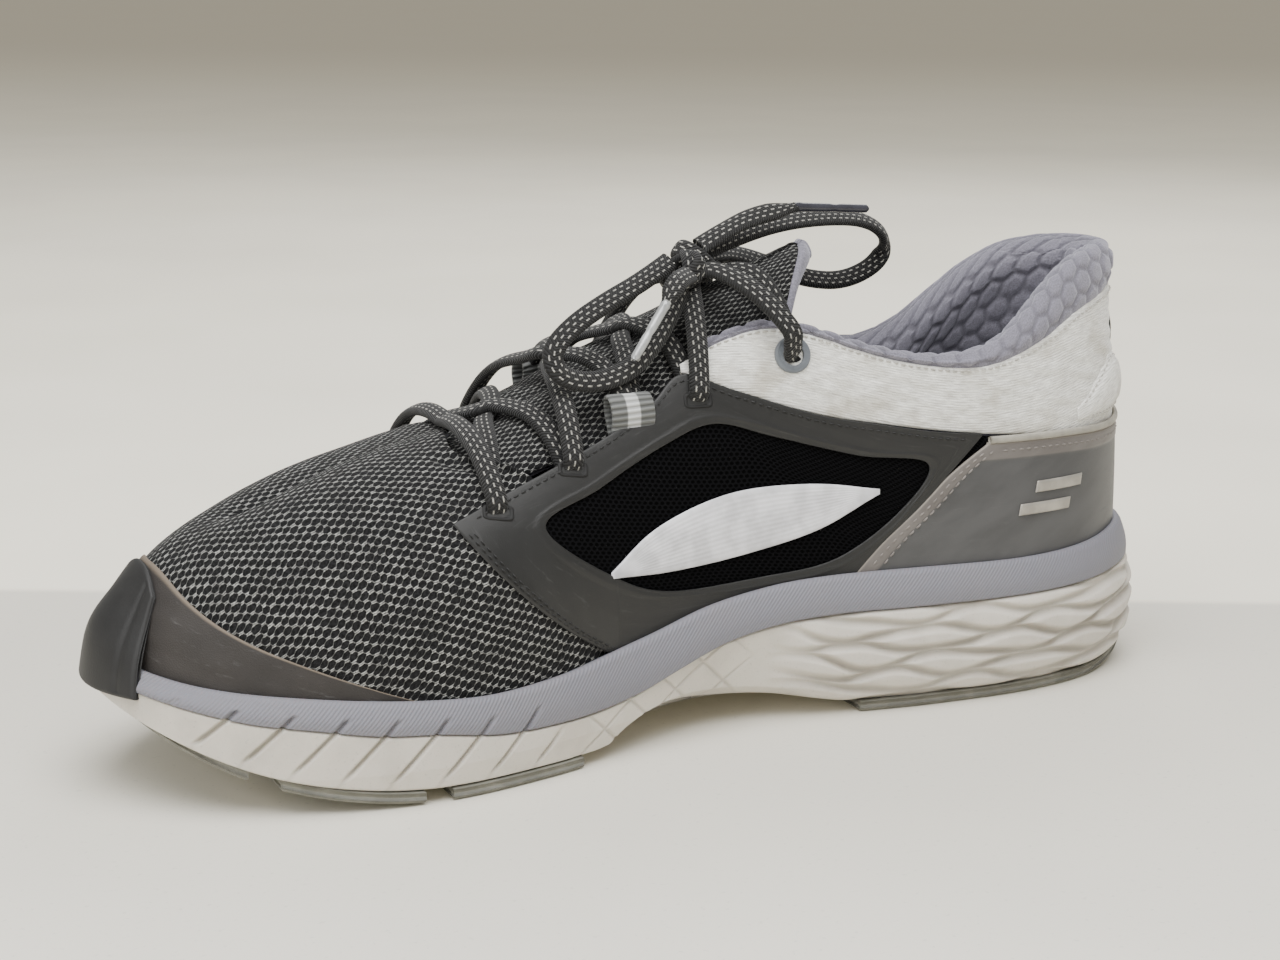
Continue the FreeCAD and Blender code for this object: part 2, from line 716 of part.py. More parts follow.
def tongue_point(a, b, off, beyond=0.0):
    side = 2 * b - 1
    tip = TONGUE_TIP - 9 * abs(side) ** 3 + beyond
    c = TONGUE_ROOT + (tip - TONGUE_ROOT) * a
    t = min(max(c / TONGUE_TIP, 0), 1)
    sink = TONGUE_SINK * t * t * (3 - 2 * t)
    return skin(*across(c, side * smooth(TONGUE_REACH, c)), off - TONGUE_OUT - sink)


def tongue_edge(a, b, off):
    """The binding sewn over the tongue's top edge: a runs away from the edge."""
    return tongue_point(1.0, b, off, beyond=0.15 + 1.9 * a)


def make_tongue():
    keep("tongue_mesh", slab(tongue_point, -FABRIC, 0, 26, 16))
    keep("tongue_foam", slab(tongue_point, -FABRIC - GAP - TONGUE_PAD, -FABRIC - GAP, 26, 16))
    inner = -FABRIC - 2 * GAP - TONGUE_PAD
    keep("tongue_lining", slab(tongue_point, inner - LINING, inner, 26, 16))
    keep("tongue_binding", slab(tongue_edge, inner - LINING, 0.1, 6, 16))


# ---------------------------------------------------------------- lacing

def ribbon(middle, facing, wide, thick, count=20):
    """A flat band along middle(t), whose face looks along facing(t)."""
    def point(a, b, off):
        d = 0.01
        along = middle(min(a + d, 1)) - middle(max(a - d, 0))
        along.normalize()
        up = facing(a)
        across_band = along.cross(up)
        across_band.normalize()
        up = across_band.cross(along)
        return middle(a) + across_band * ((b - 0.5) * wide) + up * off

    return slab(point, -thick / 2, thick / 2, count, 5)


def spot(side, x, z):
    """(c, b) of a place on the skin: the plane it is in, and how far it is towards its side."""
    if side > 0:
        z -= LATERAL_DROP * min(max((x + 5) / 15, 0), 1)
    u = u_of(side, x, z)
    v = v_of(u, z)
    return x, side * (1 - math.asin(min(v / top_v(x), 1)) * 2 / math.pi)


def strand(start, end, offs):
    """A lace strand on the skin between two spots, at offsets given along it."""
    table = [(k / (len(offs) - 1), o) for k, o in enumerate(offs)]

    def middle(t):
        c, b = (start[k] + (end[k] - start[k]) * t for k in (0, 1))
        return skin(*across(c, b), smooth(table, t))

    def facing(t):
        c, b = (start[k] + (end[k] - start[k]) * t for k in (0, 1))
        uv = across(c, b)
        return skin(*uv, 1.0) - skin(*uv, 0.0)

    return ribbon(middle, facing, LACE_WIDE, LACE_THICK, 24)


def through(side, x, z, low, high):
    """The piece of lace inside an eyelet slot."""
    if side > 0:
        z -= LATERAL_DROP * min(max((x + 5) / 15, 0), 1)
    u = u_of(side, x, z)
    v = v_of(u, z)
    p, out = skin(u, v), skin(u, v, 1.0) - skin(u, v)
    up = skin(u, v + 0.02) - skin(u, v - 0.02)
    up.normalize()
    along = up.cross(out)
    box = Part.makeBox(LACE_WIDE, LACE_THICK, high - low, V(-LACE_WIDE / 2, -LACE_THICK / 2, low))
    box.transformShape(FreeCAD.Matrix(along.x, up.x, out.x, p.x, along.y, up.y, out.y, p.y,
                                      along.z, up.z, out.z, p.z, 0, 0, 0, 1))
    return box


def path_of(points):
    """A smooth middle line through points given by hand."""
    tables = [[(k / (len(points) - 1), p[i]) for k, p in enumerate(points)] for i in range(3)]
    return lambda t: V(*(smooth(table, t) for table in tables))


KNOT = (11, 0, 118)
KNOT_R = 5.7


def grommet(side):
    x, z = EYELETS[3]
    z -= LATERAL_DROP if side > 0 else 0
    u = u_of(side, x, z)
    v = v_of(u, z)
    p, out = skin(u, v), skin(u, v, 1.0) - skin(u, v)
    barrel = Part.makeCylinder(3.8, 3.4, p - out * 1.9, out)
    flange = Part.makeCylinder(4.9, 1.3, p + out * 0.1, out)
    rims = [e for e in flange.Edges if abs(out.dot(e.CenterOfMass - p) - 1.4) < 0.05]
    flange = flange.makeFillet(0.55, [e for e in rims if e.Closed])
    bore = Part.makeCylinder(2.9, 12, p - out * 6, out)
    return barrel.fuse(flange).cut(bore).removeSplitter(), p, out


def webbing_loop(side):
    """A folded strap that comes from under the eyestay's edge and goes back over it."""
    z_off = [(0, (72, -2.1)), (1, (80, -2.4)), (2, (88, -2.2)), (3, (90.2, 0.6)), (4, (86.8, 3.9)),
             (5, (80, 4.1)), (6, (75.5, 1.75))]
    zs = [(k / 6, p[0]) for k, p in z_off]
    offs = [(k / 6, p[1]) for k, p in z_off]

    def middle(t, x):
        zz = smooth(zs, t)
        u = u_of(side, x, zz)
        return skin(u, v_of(u, zz), smooth(offs, t))

    def point(a, b, off):
        d = 0.01
        x = LOOP_EYELET[0] + (b - 0.5) * 12
        along = middle(min(a + d, 1), x) - middle(max(a - d, 0), x)
        up = V(1, 0, 0).cross(along)
        up.normalize()
        return middle(a, x) + up * off

    return slab(point, -0.5, 0.5, 26, 5)


# The bow's free lace: points by hand, in order along each piece.
BOW_BACK = [(17, 4, 121), (30, 9, 125), (46, 14, 128.5), (63, 18, 129.5), (78, 22, 127.5),
            (87.5, 25, 120.5), (86.5, 27.5, 111.5), (76, 29, 106.5), (63, 28, 108), (51, 26, 112.5),
            (38, 21, 117), (27, 14, 119), (18.5, 6.5, 118.5)]
BOW_FRONT = [(4, -3, 120), (-6, -8, 116), (-18, -12, 112), (-29, -15, 107), (-36, -17, 101),
             (-34.5, -19, 95), (-25.5, -20, 92.6), (-14.5, -19, 95), (-6, -15.5, 101.5),
             (1, -11, 108.5), (6, -6, 113)]
END_BACK = [(15, 1, 123), (24, 3, 127), (35, 5, 130.5), (47, 6, 131.5)]
END_FRONT = [(7.5, -8, 117), (2.5, -13, 117.2), (-1.5, -16.5, 115.2), (-4.5, -18.5, 111.5)]
AGLET_BACK = ((47, 6, 131.5), (70, 7, 130))
AGLET_FRONT = ((-4.5, -18.5, 111.5), (-15, -22, 98.5))
CORD_D = 3.4


def tube(name, points, diameter):
    """A tube along straight runs joined by tangent arcs, each as large as its runs allow."""
    pts = [V(*p) for p in points]
    edges, at, total, radii = [], pts[0], 0.0, []
    for a, b, c in zip(pts, pts[1:], pts[2:]):
        to, away = b - a, c - b
        turn = to.getAngle(away)
        trim = 0.45 * min(to.Length, away.Length)
        radius = trim / math.tan(turn / 2)
        radii.append(round(radius, 1))
        start, end = b - to.normalize() * trim, b + away.normalize() * trim
        inward = (start + end) * 0.5 - b
        centre = b + inward.normalize() * (radius / math.cos(turn / 2))
        middle = centre + (b - centre).normalize() * radius
        edges += [Part.LineSegment(at, start).toShape(), Part.Arc(start, middle, end).toShape()]
        at = end
    edges.append(Part.LineSegment(at, pts[-1]).toShape())
    wire = Part.Wire(edges)
    total = wire.Length
    first = (pts[1] - pts[0]).normalize()
    profile = Part.Wire(Part.makeCircle(diameter / 2, pts[0], first))
    solid = wire.makePipeShell([profile], True, True)
    ideal = math.pi * diameter ** 2 / 4 * total
    print(f"{name}: length {total:.0f} mm, radii {radii}, volume {solid.Volume / ideal:.3f} of its section")
    return solid


def rod(ends, diameter):
    a, b = (V(*p) for p in ends)
    step = (b - a).normalize()
    return Part.makeCylinder(diameter / 2, (V(*ends[1]) - a).Length - 0.4, a + step * 0.4, step)


def make_lacing():
    over, under = 2.3, -2.55
    parts = []
    e1, e2, e4, e5 = ([spot(s, x, z) for s in (-1, 1)] for x, z in EYELETS)
    loop = [spot(s, LOOP_EYELET[0], LOOP_EYELET[1] + 1.5) for s in (-1, 1)]
    # the bar across the lowest pair
    parts.append(strand(e1[0], e1[1], [over + 0.1, over, 1.3, 1.3, over, over + 0.1]))
    # lowest to second pair, under the eyestays
    parts.append(strand(e1[0], e2[1], [under, under, under, under, under]))
    parts.append(strand(e1[1], e2[0], [under, under, under + 2.3, under, under]))
    # second pair to the webbing loops, on top
    parts.append(strand(e2[0], loop[1], [over, over, 1.5, 1.0, 0.9]))
    parts.append(strand(e2[1], loop[0], [over, over, 3.8, 1.0, 0.9]))
    # webbing loops to the fourth pair, over the tongue and under the eyestays
    parts.append(strand((loop[0][0] + 1, loop[0][1]), e4[1], [-1.3, -1.6, under, under, under]))
    parts.append(strand((loop[1][0] + 1, loop[1][1]), e4[0], [-1.3, -1.6, under + 2.4, under, under]))
    # fourth pair to the ankle pair: one on top, one under
    parts.append(strand(e4[0], (e5[1][0], e5[1][1] * 0.9), [over, over, 2.4, under, under]))
    parts.append(strand(e4[1], (e5[0][0], e5[0][1] * 0.9), [over, over, -0.2, under, under]))
    for side in (-1, 1):
        for x, z in EYELETS[:3]:
            parts.append(through(side, x, z, -1.3, 0.85))
    clear_of = [s.translated(CENTRE) for name in ("quarter_mesh_", "saddle_overlay_",
                                                   "collar_panel_")
                for end in ("medial", "lateral") for s in NODES[name + end]]
    for side in (-1, 1):
        ring_solid, p, out = grommet(side)
        keep("grommet_" + ("medial" if side < 0 else "lateral"), ring_solid)
        tape = webbing_loop(side)
        keep("webbing_loop_" + ("medial" if side < 0 else "lateral"), tape)
        clear_of.append(tape)
        parts.append(Part.makeCylinder(2.7, 3.4, p - out * 1.4, out))
        mid = path_of([(p + out * 2.2)[:], (p + out * 4.5 + V(-2.5, 0, 7))[:],
                       (p.x - 9, side * 18, p.z + 16.5 + (2 if side > 0 else 0)),
                       (KNOT[0] + 5, side * 8.2, KNOT[2] - 0.5)])
        parts.append(ribbon(mid, lambda t, s=side, m=mid: V(-0.4, m(t).y, 15), LACE_WIDE - 1,
                            LACE_THICK, 14))
    free = [tube(name, points, CORD_D + 0.5) for name, points in (
        ("back", BOW_BACK), ("front", BOW_FRONT), ("end back", END_BACK), ("end front", END_FRONT))]
    free.append(Part.makeSphere(KNOT_R + 0.3, V(*KNOT)))
    laced = []
    for part in parts:
        for other in clear_of + free:
            if part.BoundBox.intersect(other.BoundBox) and part.common(other).Volume > 0.01:
                part = part.cut(other)
        laced += [s for s in part.Solids if s.Volume > 8]
    keep("lace_laced", *laced)

    keep("lace_knot", Part.makeSphere(KNOT_R, V(*KNOT)))
    for name, points in (("bow_loop_back", BOW_BACK), ("bow_loop_front", BOW_FRONT),
                         ("lace_end_back", END_BACK), ("lace_end_front", END_FRONT)):
        keep(name, tube(name, points, CORD_D))
    keep("aglet_back", rod(AGLET_BACK, 2.4))
    keep("aglet_front", rod(AGLET_FRONT, 2.4))


def make_trims():
    keep("toe_bumper", slab(toe_bumper_patch(), 2 * GAP + FILM, 2 * GAP + FILM + 1.5, 20, 8))
    keep("heel_piping", slab(foxing_piping(), GAP, 1.5, 44, 5))
    for side, name in ((-1, "medial"), (1, "lateral")):
        keep("heel_patch_" + name, slab(heel_patch_point(side), GAP, 1.6, 16, 8))
        keep("reflective_bars_" + name,
             *(slab(corners_patch(side, [(x0 - 1.2, z0), (x1 - 1.2, z0)], [(x0, z1), (x1, z1)]),
                    2 * GAP + FILM, 2 * GAP + FILM + 0.5, 8, 4) for x0, x1, z0, z1 in BARS))
        keep("side_blade_" + name, slab(corners_patch(side, BLADE_LOW, BLADE_TOP), GAP, 1.3, 20, 8))

    def tab(t):
        z = HEEL_TAB_Z + 11 * t
        return skin(0.0, v_of(0.0, z), 1.9 + 3.0 * math.sin(math.pi * t) ** 0.7)

    keep("pull_tab", ribbon(tab, lambda t: V(1, 0, 0), 9, 1.1, 12))


def main():
    make_sole()
    make_upper()
    make_trims()
    make_tongue()
    make_lacing()
    os.makedirs("parts", exist_ok=True)
    for name, solids in NODES.items():
        shape = solids[0] if len(solids) == 1 else Part.makeCompound(solids)
        shape.exportStep(f"parts/{name}.step")


main()
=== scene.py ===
"""The looks of the running shoe: cloth, film, foam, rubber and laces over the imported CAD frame.

Shapes are worked out in millimetres, in part.py's own frame, and placed in metres by to_metres().
"""
import math

import bpy
import numpy as np
from mathutils import Matrix, Vector


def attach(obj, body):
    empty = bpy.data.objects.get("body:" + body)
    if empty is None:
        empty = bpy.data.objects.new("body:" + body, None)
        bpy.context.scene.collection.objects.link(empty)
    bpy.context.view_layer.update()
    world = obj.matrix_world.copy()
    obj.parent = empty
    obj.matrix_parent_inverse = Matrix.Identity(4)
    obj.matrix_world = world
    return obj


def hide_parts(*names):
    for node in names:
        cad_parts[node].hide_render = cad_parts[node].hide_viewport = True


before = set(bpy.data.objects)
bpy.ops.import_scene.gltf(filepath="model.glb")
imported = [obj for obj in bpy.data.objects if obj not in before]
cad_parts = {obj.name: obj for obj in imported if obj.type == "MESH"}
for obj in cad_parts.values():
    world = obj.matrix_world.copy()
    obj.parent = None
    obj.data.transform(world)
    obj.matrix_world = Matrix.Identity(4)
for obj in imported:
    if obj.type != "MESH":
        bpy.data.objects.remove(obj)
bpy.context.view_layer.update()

MM = 0.001
CENTRE = np.array([-0.27, 2.89, 0.0])     # part.py's shift, which puts the origin mid-shoe

# ---------------------------------------------------------------- the shoe's driving lines (mm)

OUTLINE = np.array([
    (146, 0), (141, -15), (124, -27), (100, -32.5), (70, -32), (40, -29), (12, -28.5),
    (-18, -33.5), (-48, -42), (-75, -47), (-100, -45.5), (-122, -38.5), (-138, -27),
    (-146, -12), (-146, 2), (-138, 16), (-120, 31), (-98, 42), (-70, 50), (-40, 53),
    (-10, 51), (20, 46), (50, 40), (80, 36), (105, 33), (125, 27), (141, 15)], float)
TURN = len(OUTLINE)
TOE = 13.5
FOOTBED = [(-150, 27), (-132, 23), (-111, 20.5), (-78, 17), (-62, 16), (-44, 17), (-31, 19),
           (-15, 22), (1, 26), (13, 28), (31, 30), (60, 30.5), (100, 30), (125, 31), (150, 34)]
RIM_RISE = 7.5
DECK_UNDER = [(-152, 31), (-143, 29), (-133, 26), (-121, 23), (-108, 21), (-94, 18.5), (-79, 17),
              (-63, 14.2), (-46, 13.5), (-33, 14), (-20, 16), (-7, 20), (6, 24), (24, 27),
              (41, 28), (60, 28), (89, 28), (120, 28.5), (153, 31)]
GROUND = [(-153, 29), (-146, 22), (-136, 15), (-124, 9), (-110, 4.5), (-95, 1.6), (-82, 0.3),
          (-70, 0), (-35, 0), (-24, 1.5), (-10, 4), (6, 5), (22, 4), (36, 1.5), (46, 0), (120, 0),
          (132, 1.2), (143, 4), (153, 9)]
OUTSOLE = 3.0
RIDGE = [(-115, 63), (-95, 71), (-82, 75), (-68, 78), (-52, 82), (-34, 90), (-18, 97.5),
         (0, 106), (15, 114), (30, 124), (45, 133), (60, 141), (80, 148), (100, 150), (122, 150)]
RIDGE_Y = [(-115, -6), (-80, -1), (-40, 3), (0, 5), (50, 4), (122, 0)]
RIDGE_SCALE, RIDGE_SHIFT = 0.79, 3.0
FULLNESS = [(-150, 2.1), (-90, 2.15), (-40, 2.3), (0, 2.5), (60, 2.4), (120, 2.3)]
HEEL_FLARE = 4.0
COLLAR_TOP = [(0, 95.5), (14, 101), (27, 103.5), (39, 101.5), (50, 98), (66, 95), (82, 94.5),
              (94, 98), (105, 105), (114, 111.5), (123, 117), (133, 119.5)]
PANEL_TOP = [(0, 95.5), (14, 101), (27, 103.5), (39, 101), (50, 97), (62, 93.5), (78, 91),
             (90, 91.5), (105, 96), (122, 103.5), (134, 107)]
COLLAR_LOW = [(0, 94), (18, 87), (37, 81), (55, 77.5), (77, 74), (100, 71.5), (120, 70), (134, 69)]
LATERAL_DROP = 4.0
HEEL_TOP_Z, PANEL_BACK_Z, HEEL_SEAM_Z = 120.0, 108.5, 70.0
EYELETS = [(-57, 65.0), (-35, 73.0), (3, 86.5), (31, 96.5)]
LOOP_EYELET = (-16, 82.0)
FABRIC, GAP, FILM = 1.2, 0.12, 0.8


SIDES = ((-1, "medial"), (1, "lateral"))


# ---------------------------------------------------------------- curves and the upper's skin

def smooth(table, x):
    """The value at x of a smooth curve through (x, value) pairs, for arrays of x."""
    xs, ys = columns(table)
    k = np.arange(len(xs))
    a, b = np.maximum(k - 1, 0), np.minimum(k + 1, len(xs) - 1)
    slope = (ys[b] - ys[a]) / (xs[b] - xs[a])
    x = np.clip(x, xs[0], xs[-1])
    i = np.clip(np.searchsorted(xs, x, "right") - 1, 0, len(xs) - 2)
    h = xs[i + 1] - xs[i]
    t = (x - xs[i]) / h
    return (ys[i] * (2 * t**3 - 3 * t**2 + 1) + slope[i] * h * (t**3 - 2 * t**2 + t)
            + ys[i + 1] * (3 * t**2 - 2 * t**3) + slope[i + 1] * h * (t**3 - t**2))


def columns(table):
    """A table's columns as arrays."""
    return [np.array(c, float) for c in zip(*table)]


def distances(points):
    """How far along its line each point is, in mm."""
    return np.concatenate([[0], np.cumsum(np.linalg.norm(np.diff(points, axis=0), axis=-1))])


def between(at, s, points):
    """The points at the distances at, on a line whose own points are at the distances s."""
    return np.stack([np.interp(at, s, points[:, i]) for i in range(3)], -1)


def ease(x, lo, hi):
    """0 below lo, 1 above hi, smooth between."""
    t = np.clip((x - lo) / (hi - lo), 0, 1)
    return t * t * (3 - 2 * t)


def outline(u):
    """The foot bed's outline at u, and its outward normal."""
    i = np.floor(u).astype(int)
    t = (u - i)[..., None]
    a, b, c, d = (OUTLINE[(i + k - 1) % TURN] for k in range(4))
    q, r = 2 * a - 5 * b + 4 * c - d, 3 * b - a - 3 * c + d
    at = 0.5 * (2 * b + (c - a) * t + q * t**2 + r * t**3)
    to = 0.5 * ((c - a) + 2 * q * t + 3 * r * t**2)
    to /= np.linalg.norm(to, axis=-1, keepdims=True)
    return at, np.stack([-to[..., 1], to[..., 0]], -1)


def section(u):
    """The foot bed's edge, the ridge above it and the fullness between them, at u."""
    at, _ = outline(u)
    x, y = at[..., 0], at[..., 1]
    xt = RIDGE_SHIFT + RIDGE_SCALE * x
    foot = np.stack([x, y, smooth(FOOTBED, x)], -1)
    top = np.stack([xt, smooth(RIDGE_Y, xt), smooth(RIDGE, xt)], -1)
    return foot, top, smooth(FULLNESS, x)


def bare(u, v):
    """The point of the upper's skin at u round the outline, and v from 0 below to 1 on top."""
    u, v = np.broadcast_arrays(np.asarray(u, float), np.asarray(v, float))
    foot, top, n = section(u)
    a = np.clip(v, 1e-4, 1) * math.pi / 2
    c, s = np.maximum(np.cos(a), 0) ** (2 / n), np.sin(a) ** (2 / n)
    z = foot[..., 2] + (top[..., 2] - foot[..., 2]) * s
    x = top[..., 0] + (foot[..., 0] - top[..., 0]) * c
    up, back = np.clip((z - 92) / 24, 0, 1), np.clip((x - 95) / 40, 0, 1)
    return np.stack([x + HEEL_FLARE * up * up * back,
                     top[..., 1] + (foot[..., 1] - top[..., 1]) * c, z], -1)


def unit(p):
    return p / np.maximum(np.linalg.norm(p, axis=-1, keepdims=True), 1e-12)


def skin_normal(u, v):
    d = 2e-3
    v = np.clip(v, d, 1 - 1e-5)
    n = unit(np.cross(bare(u + d, v) - bare(u - d, v),
                      bare(u, np.minimum(v + d, 1)) - bare(u, v - d)))
    p = bare(u, v)
    out = p - np.stack([p[..., 0] * 0.8, 0 * p[..., 0], 0 * p[..., 0] + 20], -1)
    return n * np.where((n * out).sum(-1) < 0, -1, 1)[..., None]


def skin(u, v, off=0.0):
    """The skin's point, off mm outside it."""
    u, v = np.broadcast_arrays(np.asarray(u, float), np.asarray(v, float))
    off = np.broadcast_to(np.asarray(off, float), u.shape)
    return bare(u, np.clip(v, 2e-3, 1 - 1e-5)) + skin_normal(u, v) * off[..., None]


def v_of(u, z):
    """The v of the skin at u and height z."""
    foot, top, n = section(np.asarray(u, float))
    q = np.clip((z - foot[..., 2]) / (top[..., 2] - foot[..., 2]), 0, 1)
    return np.arcsin(q ** (n / 2)) * 2 / math.pi


def bisect(f, lo, hi, target, steps=26):
    """Where f is target between lo and hi, for arrays; f only rises or only falls."""
    target = np.asarray(target, float)
    lo, hi = np.full(target.shape, float(lo)), np.full(target.shape, float(hi))
    rising = f(hi) > f(lo)
    for _ in range(steps):
        mid = (lo + hi) / 2
        low_half = (f(mid) < target) == rising
        lo, hi = np.where(low_half, mid, lo), np.where(low_half, hi, mid)
    return (lo + hi) / 2


def u_of(side, x, z):
    """The place round the outline of the skin's point at x and z, on side -1 or 1."""
    x, z = np.broadcast_arrays(np.asarray(x, float), np.asarray(z, float))
    lo, hi = (0, TOE) if side < 0 else (TOE, TURN)
    return bisect(lambda u: bare(u, v_of(u, z))[..., 0], lo, hi, x)


def top_v(c):
    """The v at which the skin's front reaches the plane x = c; 1 behind the ridge's start."""
    c = np.asarray(c, float)
    toe = np.full(c.shape, TOE)
    reach = bisect(lambda v: bare(toe, v)[..., 0], 0, 1, c)
    return np.where(bare(toe, np.ones(c.shape))[..., 0] <= c, 1.0, reach)


def across(c, b):
    """(u, v) of the skin in the plane x = c: b is -1 at the medial edge, 0 on top, 1 lateral."""
    c, b = np.broadcast_arrays(np.asarray(c, float), np.asarray(b, float))
    v = top_v(c) * np.sin((1 - np.minimum(np.abs(b), 1)) * math.pi / 2)
    medial = bisect(lambda u: bare(u, v)[..., 0], 0, TOE, c)
    lateral = bisect(lambda u: bare(u, v)[..., 0], TOE, TURN, c)
    return np.where(b <= 0, medial, lateral), v


def edge_height(table, at_back, u):
    """The height at u of an edge that a table gives over x, at_back on the heel."""
    p = bare(u, v_of(u, 90.0))[..., 0]
    t = np.clip((p - table[-1][0]) / 7, 0, 1)
    behind = table[-1][1] + (at_back - table[-1][1]) * t
    lateral = np.mod(u, TURN) > TOE
    drop = LATERAL_DROP * np.clip((112 - p) / 30, 0, 1) * np.clip((p + 5) / 15, 0, 1)
    return np.where(p >= table[-1][0], behind, smooth(table, p) - np.where(lateral, drop, 0))


def rim(x):
    """The height of the foam band's upper edge."""
    return smooth(FOOTBED, x) + RIM_RISE


def drop_at(side, x):
    """How much lower the lateral collar is at x."""
    return LATERAL_DROP * np.clip((x + 5) / 15, 0, 1) if side > 0 else 0.0


# ---------------------------------------------------------------- meshes


def to_metres(p):
    return (p - CENTRE) * MM


def finish_piece(ob, material, body, stands_for=()):
    ob.data.materials.clear()
    ob.data.materials.append(material)
    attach(ob, body)
    if stands_for:
        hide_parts(*stands_for)
    return ob


def mesh_object(name, verts, faces, uv=None, attrs=None):
    """A smooth-shaded object from points in mm and faces; uv and attrs hold a value per point."""
    mesh = bpy.data.meshes.new(name)
    if not isinstance(faces, list):
        faces = faces.tolist()
    mesh.from_pydata(to_metres(verts).tolist(), [], faces)
    mesh.polygons.foreach_set("use_smooth", [True] * len(mesh.polygons))
    corner = np.empty(len(mesh.loops), int)
    mesh.loops.foreach_get("vertex_index", corner)
    if uv is not None:
        layer = mesh.uv_layers.new(name="UVMap")
        layer.data.foreach_set("uv", uv[corner].astype(np.float32).ravel())
    for key, values in (attrs or {}).items():
        mesh.attributes.new(key, "FLOAT", "POINT").data.foreach_set(
            "value", np.asarray(values, np.float32).ravel())
    mesh.update()
    ob = bpy.data.objects.new(name, mesh)
    bpy.context.scene.collection.objects.link(ob)
    return ob


def grid_faces(n, m, wrap_n=False, wrap_m=False, start=0):
    i, j = np.meshgrid(np.arange(n if wrap_n else n - 1), np.arange(m if wrap_m else m - 1),
                       indexing="ij")
    i2, j2 = (i + 1) % n, (j + 1) % m
    return np.stack([i * m + j, i2 * m + j, i2 * m + j2, i * m + j2], -1).reshape(-1, 4) + start


def slab_faces(n, m, closed=False):
    """Two sheets of n by m points, one after the other, joined round their edges.

    A closed one goes round: its first row follows its last.
    """
    if closed:
        low, high = np.arange(n) * m, np.arange(n) * m + m - 1
        edges = [(low, 1), (high, -1)]
    else:
        edges = [(np.concatenate([np.arange(m), np.arange(1, n) * m + m - 1,
                                  (n - 1) * m + np.arange(m - 2, -1, -1),
                                  np.arange(n - 2, 0, -1) * m]), -1)]
    sides = [np.stack([e, np.roll(e, -1), np.roll(e, -1) + n * m, e + n * m], -1)[:, ::way]
             for e, way in edges]
    return np.concatenate([grid_faces(n, m, wrap_n=closed),
                           grid_faces(n, m, wrap_n=closed, start=n * m)[:, ::-1], *sides])


def edge_distance(a, b, size):
    """The distance in mm to the nearest edge of a panel of that size."""
    return np.minimum(np.minimum(a, 1 - a) * size[0], np.minimum(b, 1 - b) * size[1])


def rounding(edge, r):
    """A quarter circle: 1 at the edge, 0 from r mm inwards."""
    return 1 - np.sqrt(np.clip(1 - (1 - np.minimum(edge / r, 1)) ** 2, 0, 1))


def arc_uv(p):
    """Distances in mm along both directions of a grid of points, the second from its middle."""
    def run(q, axis):
        d = np.linalg.norm(np.diff(q, axis=axis), axis=-1)
        pad = [(0, 0), (0, 0)]
        pad[axis] = (1, 0)
        return np.pad(np.cumsum(d, axis), pad)

    s, t = run(p, 0), run(p, 1)
    t -= t[:, t.shape[1] // 2][:, None]
    return np.stack([s, t], -1)


def edge_lines(n, length, r):
    """n + 8 places from 0 to 1, with some close to both ends for a rounded edge r mm wide."""
    near = np.array([0, 0.1, 0.3, 0.6]) * r / length
    return np.concatenate([near, np.linspace(r / length, 1 - r / length, n), 1 - near[::-1]])


def shell(name, place, size, count, inner, outer, material, stands_for=(), relief=None, r=None,
          extra=None):
    """A closed panel on the skin. place(a, b) gives (u, v); size is its length in mm each way.

    inner and outer are offsets, relief(a, b, uv, p) is added to the outer one.
    """
    r = r or 0.7 * abs(np.mean(outer - inner))
    a = edge_lines(count[0], size[0], r)[:, None]
    b = edge_lines(count[1], size[1], r)[None, :]
    a, b = np.broadcast_arrays(a, b)
    u, v = place(a, b)
    edge = edge_distance(a, b, size)
    return skin_shell(name, u, v, edge, r, inner, outer, material, "shoe", stands_for,
                      relief and (lambda uv, p: relief(a, b, uv, p)),
                      extra and {key: f(a, b) for key, f in extra.items()})


def skin_shell(name, u, v, edge, r, inner, outer, material, body, stands_for, relief=None,
               extra=None, closed=False):
    """A closed panel over grids of u and v; edge is the distance in mm to its nearest edge."""
    base, normal = skin(u, v, 0.0), skin_normal(u, v)
    uv = arc_uv(base)
    thick = outer - inner
    round_off = thick * 0.5 * rounding(edge, r)
    lift = outer - round_off
    if relief:
        lift = lift + relief(uv, base) * np.clip(edge / (2 * r), 0, 1)
    n, m = u.shape
    verts = np.concatenate([(base + normal * lift[..., None]).reshape(-1, 3),
                            (base + normal * (inner + round_off)[..., None]).reshape(-1, 3)])
    faces = slab_faces(n, m, closed)
    attrs = {"edge": np.tile(edge.ravel(), 2)}
    for key, values in (extra or {}).items():
        attrs[key] = np.tile(np.broadcast_to(values, u.shape).ravel(), 2)
    ob = mesh_object(name, verts, orient(verts, faces), np.tile(uv.reshape(-1, 2), (2, 1)), attrs)
    return finish_piece(ob, material, body, stands_for)


def inside_out(verts, faces):
    p = verts[faces]
    return sum((p[:, 0] * np.cross(p[:, k], p[:, k + 1])).sum() for k in (1, 2)) < 0


def orient(verts, faces):
    """The faces, turned outwards if the closed mesh they make is inside out."""
    return faces[:, ::-1] if inside_out(verts, faces) else faces


